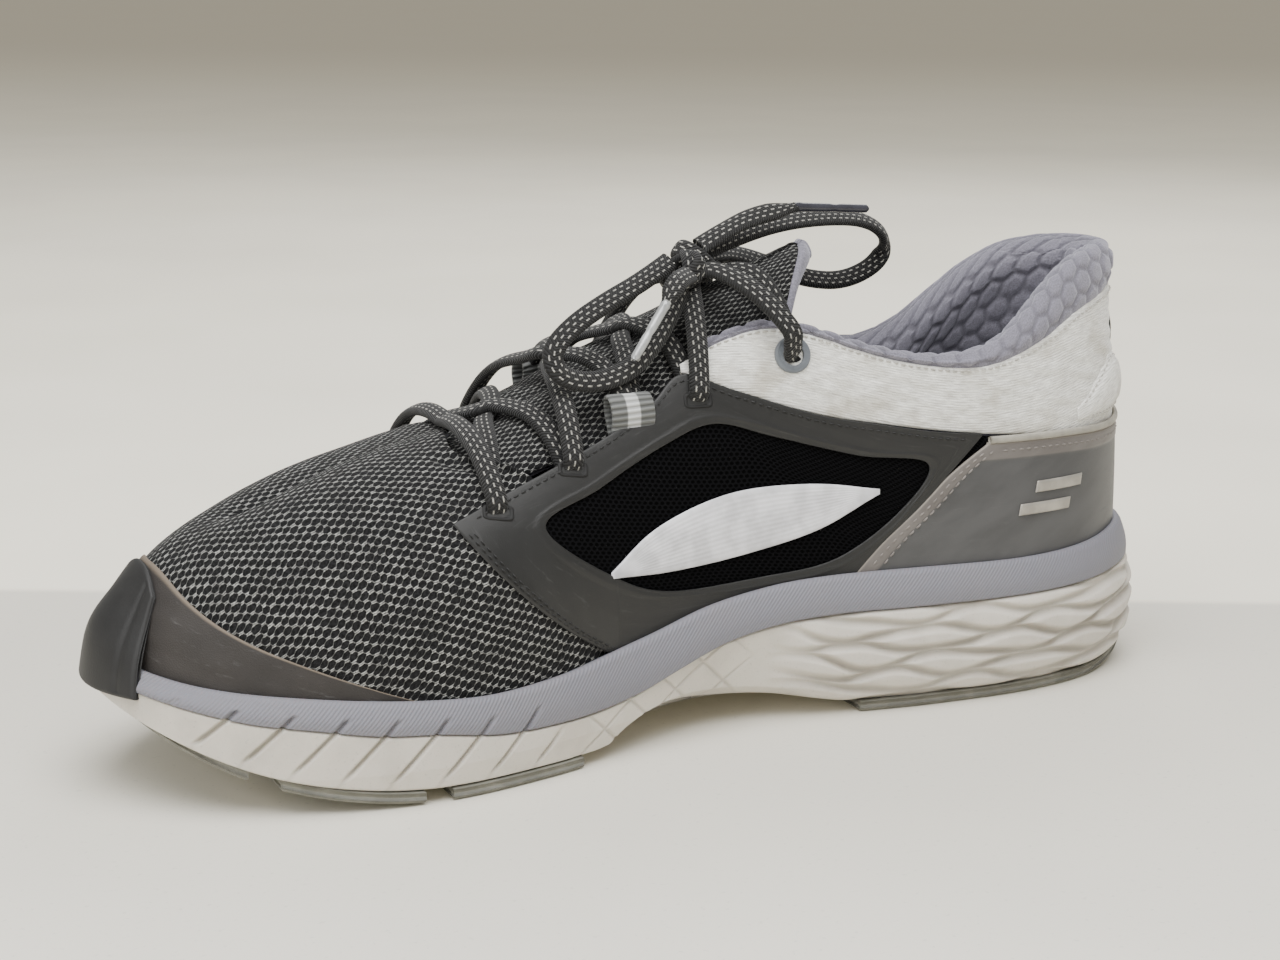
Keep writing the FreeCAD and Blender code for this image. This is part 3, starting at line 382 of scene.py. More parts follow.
def tube_mesh(name, path, facing, section_of, count):
    """A closed tube along path. section_of(k) gives half width, half thickness and squareness."""
    path = np.asarray(path, float)
    n = len(path)
    along = unit(np.gradient(path, axis=0))
    facing = np.broadcast_to(facing, path.shape)
    side = unit(np.cross(along, facing))
    up = np.cross(side, along)
    s = distances(path)
    t = np.linspace(0, 2 * math.pi, count, endpoint=False)
    rows, uvs = [], []
    for k in range(n):
        w, h, power = section_of(s[k] / s[-1])
        cx = np.sign(np.cos(t)) * np.abs(np.cos(t)) ** (2 / power)
        cy = np.sign(np.sin(t)) * np.abs(np.sin(t)) ** (2 / power)
        rows.append(path[k] + np.outer(cx * w, side[k]) + np.outer(cy * h, up[k]))
        uvs.append(np.stack([np.full(count, s[k]), cx], -1))
    verts, uv = np.concatenate(rows), np.concatenate(uvs)
    faces = grid_faces(n, count, wrap_m=True).tolist()
    faces += [list(range(count))[::-1], [(n - 1) * count + k for k in range(count)]]
    return mesh_object(name, verts, faces, uv)


def resample(points, count):
    """Points evenly spaced along a smooth curve through the given ones."""
    points = np.asarray(points, float)
    k = np.linspace(0, 1, len(points))
    fine = np.linspace(0, 1, 40 * len(points))
    dense = np.stack([smooth(list(zip(k, points[:, i])), fine) for i in range(3)], -1)
    s = distances(dense)
    return between(np.linspace(0, s[-1], count), s, dense)


def stitches(name, lines, material, pitch=2.6, length=1.9, radius=0.26):
    """Stitches along lines of (points, normals): each is a short arched capsule of thread."""
    ring = 6
    verts, faces = [], []
    for points, normals in lines:
        s = distances(points)
        for start in np.arange(pitch * 0.5, s[-1] - length, pitch):
            at = start + length * np.array([0, 0.12, 0.5, 0.88, 1])
            mid = between(at, s, points)
            nor = unit(between(at, s, normals))
            mid += nor * (radius * np.array([-1.2, 0.1, 0.75, 0.1, -1.2]))[:, None]
            along = unit(mid[-1] - mid[0])
            side = unit(np.cross(along, nor))
            for k, w in enumerate((0.35, 0.95, 1.1, 0.95, 0.35)):
                for q in range(ring):
                    t = 2 * math.pi * q / ring
                    round_it = side[k] * math.cos(t) + nor[k] * math.sin(t)
                    verts.append(mid[k] + round_it * radius * w)
            base = len(verts) - 5 * ring
            faces += grid_faces(5, ring, wrap_m=True, start=base).tolist()
            faces += [[base + q for q in range(ring)][::-1],
                      [base + 4 * ring + q for q in range(ring)]]
    ob = mesh_object(name, np.array(verts), faces, np.zeros((len(verts), 2)))
    return finish_piece(ob, material, "shoe")


# ---------------------------------------------------------------- materials

class Look:
    """A material built from nodes. Values may be numbers or sockets."""

    def __init__(self, name, roughness=0.7, **settings):
        self.material = bpy.data.materials.new(name)
        self.material.use_nodes = True
        self.tree = self.material.node_tree
        self.shader = self.tree.nodes["Principled BSDF"]
        self.set(Roughness=roughness, **settings)
        self.coords = self.tree.nodes.new("ShaderNodeUVMap").outputs[0]
        split = self.add("ShaderNodeSeparateXYZ", Vector=self.coords)
        self.s, self.t = split.outputs[0], split.outputs[1]

    def set(self, **inputs):
        for key, value in inputs.items():
            self.link(self.shader.inputs[key.replace("_", " ")], value)

    def link(self, socket, value):
        if isinstance(value, bpy.types.NodeSocket):
            self.tree.links.new(value, socket)
        elif isinstance(value, tuple) and len(value) == 3 and socket.type == "RGBA":
            socket.default_value = (*value, 1)
        else:
            socket.default_value = value

    def add(self, kind, settings=None, **inputs):
        node = self.tree.nodes.new(kind)
        for key, value in (settings or {}).items():
            setattr(node, key, value)
        for key, value in inputs.items():
            self.link(node.inputs[key.replace("_", " ")], value)
        return node

    def math(self, operation, *values):
        node = self.add("ShaderNodeMath", {"operation": operation})
        for socket, value in zip(node.inputs, values):
            self.link(socket, value)
        return node.outputs[0]

    def mul(self, a, b):
        return self.math("MULTIPLY", a, b)

    def plus(self, a, b):
        return self.math("ADD", a, b)

    def minus(self, a, b):
        return self.math("SUBTRACT", a, b)

    def invert(self, value):
        return self.math("SUBTRACT", 1.0, value)

    def mul_add(self, a, b, c):
        return self.math("MULTIPLY_ADD", a, b, c)

    def size(self, value):
        return self.math("ABSOLUTE", value)

    def ping(self, value, top):
        return self.math("PINGPONG", value, top)

    def step(self, value, lo, hi):
        """0 below lo, 1 above hi, smooth between."""
        return self.add("ShaderNodeMapRange", {"interpolation_type": "SMOOTHSTEP"}, Value=value,
                        From_Min=lo, From_Max=hi).outputs[0]

    def mix(self, factor, a, b):
        node = self.add("ShaderNodeMix", {"data_type": "RGBA"})
        for socket, value in zip((node.inputs[0], node.inputs[6], node.inputs[7]), (factor, a, b)):
            self.link(socket, value)
        return node.outputs[2]

    def stretched(self, su, sv):
        """The panel's own coordinates in mm, scaled."""
        return self.add("ShaderNodeMapping", Vector=self.coords, Scale=(su, sv, 1)).outputs[0]

    def noise(self, scale, detail=3.0, vector=None, rough=0.55):
        """Noise over the panel's coordinates in mm, about scale mm across."""
        vector = vector or self.coords
        return self.add("ShaderNodeTexNoise", Vector=vector, Scale=1 / scale, Detail=detail,
                        Roughness=rough).outputs[0]

    def solid_noise(self, scale, detail=3.0):
        """Noise through the object, about scale mm across."""
        place = self.add("ShaderNodeTexCoord").outputs["Object"]
        return self.add("ShaderNodeTexNoise", Vector=place, Scale=1000 / scale,
                        Detail=detail).outputs[0]

    def attribute(self, name):
        return self.add("ShaderNodeAttribute", {"attribute_name": name}).outputs["Fac"]

    def bump(self, height, depth, chain=None):
        """A bump of that height field, depth in mm."""
        node = self.add("ShaderNodeBump", Height=height, Distance=depth * MM, Strength=1.0)
        if chain:
            self.link(node.inputs["Normal"], chain)
        return node.outputs[0]


def tint(colour, factor):
    return tuple(min(c * factor, 1) for c in colour)


def knit_look(name, dark, light, pitch=1.2, wave=3.6, swing=0.4):
    """Engineered mesh: light chains of yarn in opposite phase, which enclose small dark cells."""
    look = Look(name, roughness=0.92, Specular_IOR_Level=0.12, Sheen_Weight=0.04)
    wobble = look.mul(look.minus(look.noise(16, 2), 0.5), 1.2)
    t = look.plus(look.t, look.plus(wobble, look.mul(look.minus(look.noise(2.2, 2), 0.5), 0.85)))
    phase = look.mul(look.plus(look.s, look.mul(look.minus(look.noise(3.0, 2), 0.5), 2.0)),
                     2 * math.pi / wave)
    sine = look.math("SINE", phase)
    flat = look.math("MINIMUM", look.math("MAXIMUM", look.mul(sine, 1.7), -1.0), 1.0)
    nearest = None
    for sign, shift in ((1.0, 0.0), (-1.0, pitch)):
        at = look.plus(look.mul_add(flat, sign * swing, t), shift)
        line = look.ping(at, pitch)
        nearest = line if nearest is None else look.math("MINIMUM", nearest, line)
    yarn = look.invert(look.step(nearest, 0.05, 0.25))
    on_flat = look.step(look.size(sine), 0.25, 0.75)
    shine = look.mul_add(on_flat, 0.68, 0.32)
    fray = look.mul_add(look.step(look.noise(0.55, 3), 0.3, 0.62), 0.7, 0.3)
    patch = look.mul_add(look.step(look.noise(6, 3), 0.3, 0.7), 0.5, 0.62)
    bright = look.mul(look.mul(yarn, shine), look.mul(fray, patch))
    under = look.mix(look.step(look.noise(0.7, 2), 0.3, 0.7), tint(dark, 0.5), tint(dark, 2.2))
    look.set(Base_Color=look.mix(bright, under, light))
    height = look.plus(yarn, look.mul(look.noise(0.45, 2), 0.6))
    look.set(Normal=look.bump(height, 0.5))
    return look.material


def hex_mesh_look(name, dark, light, pitch=1.35):
    """Open black mesh: a hexagonal lattice of small holes."""
    look = Look(name, roughness=0.9, Specular_IOR_Level=0.05)
    k = 2 * math.pi / pitch
    waves = []
    for angle in (0, 60, 120):
        a = math.radians(angle)
        along = look.mul_add(look.t, math.sin(a) * k,
                          look.mul(look.s, math.cos(a) * k))
        waves.append(look.math("COSINE", along))
    lattice = look.plus(look.plus(waves[0], waves[1]), waves[2])
    thread = look.invert(look.step(lattice, -0.6, 0.9))
    look.set(Base_Color=look.mix(thread, dark, light), Normal=look.bump(thread, 0.3))
    return look.material


def jersey_look(name, colour):
    """Heather jersey with streaks, and a faint metallic sheen."""
    look = Look(name, roughness=0.5, Sheen_Weight=0.5, Sheen_Roughness=0.4)
    streak = look.noise(1, 4, look.stretched(0.28, 2.4), 0.65)
    broad = look.noise(16, 3)
    grain = look.noise(0.35, 2)
    light = look.mix(look.step(streak, 0.32, 0.68), tint(colour, 0.74), tint(colour, 1.25))
    stain = look.mix(look.step(broad, 0.48, 0.72), light, look.mix(0.5, light, (0.36, 0.31, 0.22)))
    look.set(Base_Color=look.mix(look.mul(look.step(grain, 0.5, 0.75), 0.35), stain,
                                 tint(colour, 0.5)))
    rib = look.math("SINE", look.mul(look.t, 2 * math.pi / 0.7))
    height = look.plus(look.mul(rib, 0.25),
                       look.mul_add(streak, 0.9, look.mul(grain, 0.5)))
    look.set(Normal=look.bump(height, 0.16), Specular_IOR_Level=0.6)
    return look.material


def film_look(name, colour, rough=0.5, edge_colour=None, wear=0.5, grain=0.05, band=None):
    """Thin moulded film with fine grain, scuffs and worn edges."""
    look = Look(name, roughness=rough)
    scuff = look.step(look.noise(3.2, 5, look.stretched(0.35, 1.6), 0.7), 0.56, 0.74)
    cloud = look.step(look.noise(18, 3), 0.3, 0.7)
    colour_now = look.mix(cloud, tint(colour, 0.82), tint(colour, 1.15))
    colour_now = look.mix(look.mul(scuff, wear), colour_now,
                          tuple(c * 0.5 + 0.11 for c in colour))
    if band:
        colour_now = look.mix(look.attribute("band"), colour_now, look.mix(cloud, *band))
    if edge_colour:
        close = look.invert(look.step(look.attribute("edge"), 0.25, 1.0))
        colour_now = look.mix(close, colour_now, edge_colour)
    look.set(Base_Color=colour_now,
             Roughness=look.mul_add(scuff, 0.16, rough - 0.05))
    look.set(Normal=look.bump(look.noise(0.42, 3), grain))
    return look.material


def foam_look(name, colour, rough=0.62, speckle=0.3, dirt_and_shade=(0.30, 0.27, 0.22), dirt_and_shade_amount=0.45,
              grain=0.07, twill=0.0):
    """Moulded EVA: a fine skin with speckles, random clouds of dirt, and painted shade that darkens
    its hollows.
    """
    look = Look(name, roughness=rough, Subsurface_Weight=0.04, Subsurface_Scale=0.002)
    spots = look.step(look.solid_noise(0.7, 2), 0.62, 0.72)
    cloud = look.step(look.solid_noise(11, 4), 0.42, 0.72)
    hollow_shade = look.attribute("hollow_shade")
    colour_now = look.mix(look.mul(spots, speckle), colour, tint(colour, 0.55))
    # the dirt colour goes on in random clouds (dirt) and, as painted shade, in the hollows
    dirt_and_hollow_shade = look.mul(look.plus(look.mul(cloud, 0.45), hollow_shade),
                      dirt_and_shade_amount)
    colour_now = look.mix(look.math("MINIMUM", dirt_and_hollow_shade, 0.85), colour_now, dirt_and_shade)
    height = look.solid_noise(0.5, 3)
    if twill:
        lines = look.math("SINE", look.mul(look.plus(look.s, look.t),
                                            2 * math.pi / 1.15))
        height = look.mul_add(lines, twill, height)
    look.set(Base_Color=colour_now, Normal=look.bump(height, grain))
    return look.material


def plush_look(name, colour):
    """Brushed knit with a soft pile."""
    look = Look(name, roughness=0.95, Sheen_Weight=0.7, Sheen_Roughness=0.45)
    fine, broad = look.noise(0.5, 3), look.noise(7, 3)
    look.link(look.shader.inputs["Sheen Tint"], (0.85, 0.85, 0.95))
    colour_now = look.mix(look.step(fine, 0.3, 0.7), tint(colour, 0.72), tint(colour, 1.2))
    # painted shade: the cloth darkens in the grooves that the hollow attribute marks
    colour_now = look.mix(look.mul(look.attribute("hollow_shade"), 0.55), colour_now,
                          tint(colour, 0.42))
    colour_now = look.mix(look.mul(look.step(broad, 0.4, 0.75), 0.3), colour_now,
                          tint(colour, 1.3))
    look.set(Base_Color=colour_now, Normal=look.bump(fine, 0.22))
    return look.material


def lace_look(name, colour, fleck):
    """Flat braid: a chevron weave with three rows of light dashes."""
    look = Look(name, roughness=0.8, Sheen_Weight=0.12, Sheen_Roughness=0.4)
    lean = look.mul(look.size(look.t), 1.7)
    chevron = look.ping(look.plus(look.s, lean), 0.42)
    plait = look.step(chevron, 0.03, 0.3)
    dash_total = None
    for place, shift in ((-0.5, 0.0), (0.0, 1.2), (0.5, 0.0)):
        row = look.invert(look.step(look.size(look.minus(look.t, place)), 0.045, 0.10))
        beat = look.invert(look.step(look.ping(look.plus(look.s, shift), 1.2), 0.48, 0.62))
        dash = look.mul(row, beat)
        dash_total = dash if dash_total is None else look.math("MAXIMUM", dash_total, dash)
    base = look.mix(plait, tint(colour, 0.45), tint(colour, 1.35))
    base = look.mix(look.mul(look.step(look.noise(0.6, 2, look.stretched(1, 2)), 0.5, 0.7), 0.4),
                    base, tint(colour, 2.0))
    look.set(Base_Color=look.mix(dash_total, base, fleck))
    height = look.mul_add(dash_total, 0.5, plait)
    look.set(Normal=look.bump(height, 0.22))
    return look.material


def webbing_look(name, colour, stripe):
    """Ribbed tape with a light stripe along its middle."""
    look = Look(name, roughness=0.75, Sheen_Weight=0.3)
    ribs = look.math("SINE", look.mul(look.s, 2 * math.pi / 1.5))
    mid = look.invert(look.step(look.size(look.t), 0.26, 0.34))
    # painted shade: tape and stripe are darker in each rib's trough and lighter on its crest
    shade = look.mix(look.step(ribs, -0.8, 0.6), tint(colour, 0.5), tint(colour, 1.2))
    light = look.mix(look.step(ribs, -0.8, 0.6), tint(stripe, 0.6), stripe)
    look.set(Base_Color=look.mix(mid, shade, light), Normal=look.bump(ribs, 0.2))
    return look.material


def plain_look(name, colour, rough, grain=0.03, **settings):
    look = Look(name, roughness=rough, **settings)
    cloud = look.step(look.solid_noise(6, 3), 0.35, 0.7)
    look.set(Base_Color=look.mix(cloud, tint(colour, 0.85), tint(colour, 1.15)),
             Normal=look.bump(look.solid_noise(0.5, 2), grain))
    return look.material


GREY_MESH = knit_look("grey_mesh", (0.009, 0.009, 0.0095), (0.56, 0.56, 0.53))
BLACK_MESH = hex_mesh_look("black_mesh", (0.0004, 0.0004, 0.0005), (0.0045, 0.0045, 0.0052))
JERSEY = jersey_look("jersey", (0.82, 0.80, 0.75))
DARK_FILM = film_look("dark_film", (0.0135, 0.0135, 0.013), 0.5, wear=0.22)
GREY_FILM = film_look("grey_film", (0.070, 0.070, 0.072), 0.5, (0.24, 0.215, 0.185), wear=0.2,
                     band=((0.125, 0.112, 0.105), (0.17, 0.155, 0.145)))
TOE_FILM = film_look("toe_film", (0.026, 0.022, 0.0195), 0.66, (0.17, 0.135, 0.10), wear=0.5,
                     grain=0.16)
SLATE = plain_look("slate_rubber", (0.0125, 0.0125, 0.0125), 0.55, 0.06)
WHITE_FOAM = foam_look("foam_white", (0.66, 0.62, 0.55))
LILAC_FOAM = foam_look("foam_lilac", (0.20, 0.198, 0.228), 0.6, 0.12, (0.24, 0.22, 0.22), 0.3,
                       0.06, 0.8)
PLUSH = plush_look("collar_cloth", (0.20, 0.192, 0.232))
LINING = plush_look("lining", (0.16, 0.16, 0.19))
LACE = lace_look("lace", (0.006, 0.006, 0.006), (0.36, 0.35, 0.32))
TAPE = webbing_look("webbing", (0.14, 0.145, 0.14), (0.62, 0.63, 0.62))
RUBBER = plain_look("outsole_rubber", (0.20, 0.197, 0.165), 0.72, 0.1)
GROMMET = plain_look("grommet", (0.145, 0.16, 0.18), 0.42)
WHITE_PLASTIC = plain_look("white_plastic", (0.72, 0.72, 0.75), 0.42, 0.02)
REFLECTIVE = plain_look("reflective", (0.40, 0.375, 0.33), 0.35, 0.05, Metallic=0.35)
BLACK_THREAD = plain_look("black_thread", (0.012, 0.012, 0.012), 0.6)
TAUPE_THREAD = plain_look("taupe_thread", (0.22, 0.20, 0.185), 0.7)
LIGHT_THREAD = plain_look("light_thread", (0.52, 0.50, 0.46), 0.7)
PIPING = plain_look("piping", (0.36, 0.34, 0.29), 0.6)
AGLET_DARK = plain_look("aglet_dark", (0.035, 0.035, 0.045), 0.22)
AGLET_CLEAR = plain_look("aglet_clear", (0.42, 0.43, 0.43), 0.18, 0.02, Metallic=0.25)
INSOLE_FOAM = plain_look("insole_foam", (0.10, 0.105, 0.12), 0.9, 0.2)
INSOLE_CLOTH = plush_look("insole_cloth", (0.085, 0.085, 0.10))
SLOT_BLACK = plain_look("slot_black", (0.006, 0.006, 0.006), 0.7)
DARK_TAPE = plain_look("dark_webbing", (0.02, 0.02, 0.022), 0.7, 0.12)
BOARD = plain_look("board", (0.5, 0.47, 0.42), 0.9, 0.15)


# ---------------------------------------------------------------- camera, floor and light

AZIMUTH, ELEVATION, ROLL = math.radians(-25.8), math.radians(13.17), math.radians(0.6)
DISTANCE, AIM_HEIGHT, AIM_RIGHT, AIM_UP = 642.6, 55, -2.0, 6.0
SENSOR, LENS = 36, 67.5
FLOOR_LINE = 0.098                  # metres behind the origin, along the camera's heading


def make_camera():
    back = Vector((math.sin(AZIMUTH) * math.cos(ELEVATION),
                   -math.cos(AZIMUTH) * math.cos(ELEVATION), math.sin(ELEVATION)))
    level = (-back).cross(Vector((0, 0, 1))).normalized()
    rise = level.cross(-back)
    right = level * math.cos(ROLL) + rise * math.sin(ROLL)
    up = rise * math.cos(ROLL) - level * math.sin(ROLL)
    aim = Vector((0, 0, AIM_HEIGHT)) + right * AIM_RIGHT + up * AIM_UP - Vector(CENTRE.tolist())
    data = bpy.data.cameras.new("camera")
    data.sensor_width, data.lens = SENSOR, LENS
    data.clip_start, data.clip_end = 0.01, 50
    camera = bpy.data.objects.new("camera", data)
    camera.matrix_world = Matrix.Translation((aim + back * DISTANCE) * MM) @ Matrix(
        (right, up, back)).transposed().to_4x4()
    bpy.context.scene.collection.objects.link(camera)
    bpy.context.scene.camera = camera


def make_floor():
    """One level sheet: pale in front, and beige behind the line where a backdrop would start."""
    mesh = bpy.data.meshes.new("floor")
    mesh.from_pydata([(-6, -6, -0.0002), (6, -6, -0.0002), (6, 6, -0.0002), (-6, 6, -0.0002)], [],
                     [(0, 1, 2, 3)])
    floor = bpy.data.objects.new("floor", mesh)
    bpy.context.scene.collection.objects.link(floor)
    look = Look("floor", roughness=0.85)
    split = look.add("ShaderNodeSeparateXYZ", Vector=look.add(
        "ShaderNodeTexCoord").outputs["Object"])
    ahead = look.plus(look.mul(split.outputs[0], -math.sin(AZIMUTH)),
                      look.mul(split.outputs[1], math.cos(AZIMUTH)))
    behind = look.step(ahead, FLOOR_LINE - 0.003, FLOOR_LINE + 0.005)
    cloud = look.step(look.solid_noise(160, 4), 0.3, 0.7)
    grain = look.step(look.solid_noise(1.6, 3), 0.62, 0.75)
    # painted shade: the floor darkens from the front towards the line
    pale = look.mix(look.step(ahead, -0.42, 0.07), (0.97, 0.935, 0.83), (0.72, 0.69, 0.61))
    pale = look.mix(look.mul(cloud, 0.16), pale, (0.50, 0.485, 0.45))
    pale = look.mix(look.mul(grain, 0.25), pale, (0.40, 0.39, 0.36))
    far = look.mix(look.step(ahead, 0.1, 0.7), (0.96, 0.92, 0.80), (0.97, 0.93, 0.81))
    # painted shade: behind the line it darkens with distance
    far = look.mix(look.step(ahead, 0.45, 3.4), far, (0.40, 0.36, 0.305))
    far = look.mix(look.mul(cloud, 0.12), far, (0.42, 0.40, 0.36))
    # painted light: the floor glows by itself, faintly in front and more behind the line
    glow = look.mix(behind, (0.035, 0.031, 0.018), (0.15, 0.135, 0.085))
    look.set(Base_Color=look.mix(behind, pale, far), Emission_Color=glow, Emission_Strength=1.0,
             Normal=look.bump(look.solid_noise(1.1, 3), 0.02))
    mesh.materials.append(look.material)


def make_lights():
    world = bpy.data.worlds.new("studio")
    world.use_nodes = True
    world.node_tree.nodes["Background"].inputs[0].default_value = (1.0, 0.985, 0.955, 1)
    world.node_tree.nodes["Background"].inputs[1].default_value = 0.50
    bpy.context.scene.world = world
    for name, spot, aim, wide, power in (("key", (-0.15, -0.35, 1.15), (0, 0, 0), 1.1, 24.0),
                                         ("side", (-1.1, -0.5, 0.55), (0, 0, 0.04), 0.7, 4.5),
                                         ("back", (0.7, 0.9, 0.8), (0.05, 0, 0.06), 0.7, 5.5)):
        data = bpy.data.lights.new(name, "AREA")
        data.size, data.energy = wide, power
        lamp = bpy.data.objects.new(name, data)
        lamp.matrix_world = Matrix.Translation(spot) @ (
            Vector(spot) - Vector(aim)).to_track_quat("Z", "Y").to_matrix().to_4x4()
        bpy.context.scene.collection.objects.link(lamp)


make_camera()
make_floor()
make_lights()


# ---------------------------------------------------------------- free laces

def curve_points(name, route):
    """The points of a smooth curve on the route, which is in metres, and its thin curve data."""
    data = bpy.data.curves.new(name + "_route", "CURVE")
    data.dimensions = "3D"
    data.resolution_u = 24
    spline = data.splines.new("NURBS")
    spline.points.add(len(route) - 1)
    for point, at in zip(spline.points, route):
        point.co = (*at, 1)
    spline.order_u = 3
    spline.use_endpoint_u = True
    ob = bpy.data.objects.new(name + "_route", data)
    mesh = bpy.data.meshes.new_from_object(ob)
    points = [tuple(v.co) for v in mesh.vertices]
    bpy.data.meshes.remove(mesh)
    bpy.data.objects.remove(ob)
    return points


def in_mm(points):
    return np.array(points, float) / MM + CENTRE


def out_of_mm(points):
    return [tuple(p) for p in ((np.array(points, float) - CENTRE) * MM).tolist()]


BOW_BACK = out_of_mm([
    (17, 4, 121), (30, 9, 124), (46, 14, 126.5), (63, 18, 126.8), (78, 22, 125.2),
    (87.5, 25, 119.5), (86.5, 27.5, 111.5), (76, 29, 106.5), (63, 28, 108), (51, 26, 112.5),
    (38, 21, 117), (27, 14, 119), (18.5, 6.5, 118.5)])
BOW_FRONT = out_of_mm([
    (4, -3, 120), (-6, -8, 116), (-18, -12, 112), (-29, -15, 107), (-36, -17, 101),
    (-34.5, -19, 95), (-25.5, -20, 92.6), (-14.5, -19, 95), (-6, -15.5, 101.5), (1, -11, 108.5),
    (6, -6, 113)])
END_BACK = out_of_mm([(15, 1, 123), (24, 3, 127), (35, 5, 130.5), (47, 6, 131.5)])
END_FRONT = out_of_mm([(7.5, -8, 117), (2.5, -13, 117.2), (-1.5, -16.5, 115.2),
                       (-4.5, -18.5, 111.5)])
AGLET_BACK = ((47, 6, 131.5), (70, 7, 130))
AGLET_FRONT = ((-4.5, -18.5, 111.5), (-15, -22, 98.5))
LACE_HALF, LACE_DEEP = 2.7, 1.35


def lace_section(k):
    """Half width, half thickness and squareness of the flat lace."""
    return LACE_HALF, LACE_DEEP, 2.6


def tapered(k):
    """A lace that gathers into its tag at the end."""
    shrink = ease(np.asarray(k), 0.72, 1.0)
    return LACE_HALF - 1.35 * shrink, LACE_DEEP - 0.1 * shrink, 2.6 - 0.5 * shrink


def aglet(name, ends, material, node):
    a, b = (np.array(e, float) for e in ends)
    path = a + (b - a) * np.linspace(-0.05, 1, 34)[:, None]

    def profile(k):
        size = 1.28 - 0.12 * k
        size += (0.14 * math.exp(-((k - 0.07) / 0.03) ** 2)
                 - 0.2 * math.exp(-((k - 0.55) / 0.05) ** 2))
        size *= math.sqrt(max(1 - max((k - 0.96) / 0.04, 0) ** 2 * 0.75, 0))
        return size, size, 2.0

    ob = tube_mesh(name, path, np.array([0, 0, 1.0]), profile, 20)
    return finish_piece(ob, material, "shoe", [node])


def make_bow():
    tags = {"aglet_back": aglet("lace_tag_back", AGLET_BACK, AGLET_DARK, "aglet_back"),
            "aglet_front": aglet("lace_tag_front", AGLET_FRONT, AGLET_CLEAR, "aglet_front")}
    for node, route, length, section, tag, lean in (
            ("bow_loop_back", BOW_BACK, 0.161, lace_section, None, (0.1, -0.75, 0.65)),
            ("bow_loop_front", BOW_FRONT, 0.103, lace_section, None, (-0.2, -0.85, 0.5)),
            ("lace_end_back", END_BACK, 0.034, tapered, "aglet_back", (0, -0.6, 0.8)),
            ("lace_end_front", END_FRONT, 0.018, tapered, "aglet_front", (-0.3, -0.85, 0.5))):
        points = curve_points(node, route)
        path = in_mm(points)
        along = np.linspace(0, 1, len(path))[:, None]
        twist = np.array(lean) + np.array([0.25, 0.1, 0.2]) * np.sin(along * math.pi * 2)
        ob = tube_mesh(node + "_lace", path, unit(twist), section, 20)
        finish_piece(ob, LACE, "shoe", [node])
        if node == "lace_end_front":          # too short for a cord: three widths long
            continue


make_bow()


# ---------------------------------------------------------------- laces in the eyelets

def spot_on(side, x, z):
    """(c, b) of a place on the skin: the plane it is in, and how far it is towards its side."""
    z = z - drop_at(side, x)
    v = v_of(u_of(side, x, z), z)
    share = min(float(v / top_v(np.array(x))), 1)
    return np.array([x, side * (1 - math.asin(share) * 2 / math.pi)])


def strand_path(start, end, offs, count=90, dives=(False, False)):
    """A strand's middle line on the skin; where it dives, it turns down into a slot."""
    t = ease(np.linspace(0, 1, count), 0, 1) * 0.5 + np.linspace(0, 1, count) * 0.5
    spots = start + (end - start) * t[:, None]
    uv = across(spots[:, 0], spots[:, 1])
    lift = smooth(list(zip(np.linspace(0, 1, len(offs)), offs)), t)
    flat = skin(*uv, lift)
    run = distances(flat)
    for dive, from_end in zip(dives, (run, run[-1] - run)):
        if dive:
            lift = lift - 3.6 * np.clip(1 - from_end / 2.6, 0, 1) ** 2
    return skin(*uv, lift), unit(skin_normal(*uv))


def joined(name, tubes, material, stands_for):
    """One object from several tubes."""
    keep = tubes[0]
    bpy.ops.object.select_all(action="DESELECT")
    for ob in tubes:
        ob.select_set(True)
    bpy.context.view_layer.objects.active = keep
    bpy.ops.object.join()
    keep.name = keep.data.name = name
    return finish_piece(keep, material, "shoe", stands_for)


def make_laced():
    over, under = 2.0, -2.5
    e1, e2, e4, e5 = ([spot_on(s, x, z) for s in (-1, 1)] for x, z in EYELETS)
    loop = [spot_on(s, LOOP_EYELET[0], LOOP_EYELET[1] + 1.5) for s in (-1, 1)]
    step = np.array([1.0, 0])
    flat = np.array([1.0, 0.9])
    runs = [
        (e1[0], e1[1], [over, over + 0.3, over, 1.5, 1.5, over, over + 0.3, over]),
        (e1[0], e2[1], [under] * 5),
        (e1[1], e2[0], [under, under, under + 2.3, under, under]),
        (e2[0], loop[1], [over, over + 0.3, over, 1.7, 1.5, 1.2, 0.9, 0.9]),
        (e2[1], loop[0], [over, over + 0.3, over, 3.9, 1.9, 1.2, 0.9, 0.9]),
        (loop[0] + step, e4[1], [-1.3, -1.6, under, under, under]),
        (loop[1] + step, e4[0], [-1.3, -1.6, under + 2.4, under, under]),
        (e4[0], e5[1] * flat, [over, over + 0.3, over, 2.4, under, under, under]),
        (e4[1], e5[0] * flat, [over, over + 0.3, over, -0.2, under, under, under]),
    ]
    tubes = []
    for k, (start, end, offs) in enumerate(runs):
        path, facing = strand_path(start, end, offs, dives=(offs[0] == over, offs[-1] == over))
        tubes.append(tube_mesh(f"strand{k}", path, facing, lace_section, 20))
    for side in (-1, 1):
        x, z = EYELETS[3]
        z = z - drop_at(side, x)
        u = u_of(side, x, z)
        v = v_of(u, z)
        p, out = skin(u, v), skin_normal(u, v)
        rise = np.array([-2.5, 0, 7.0])
        path = resample([p - out * 3.4, p + out * 0.6, p + out * 3.2 + rise * 0.35,
                         p + out * 4.2 + rise,
                         (p[0] - 9, side * 18, p[2] + 16.5 + (2 if side > 0 else 0)),
                         (16, side * 8.2, 117.5), (10, side * 2.5, 117)], 80)
        facing = unit(np.stack([np.full(80, -4.0), path[:, 1], np.full(80, 13.0)], -1))
        tubes.append(tube_mesh(f"rise{side}", path, facing, lace_section, 20))
    joined("lace_through_eyelets", tubes, LACE, ["lace_laced"])


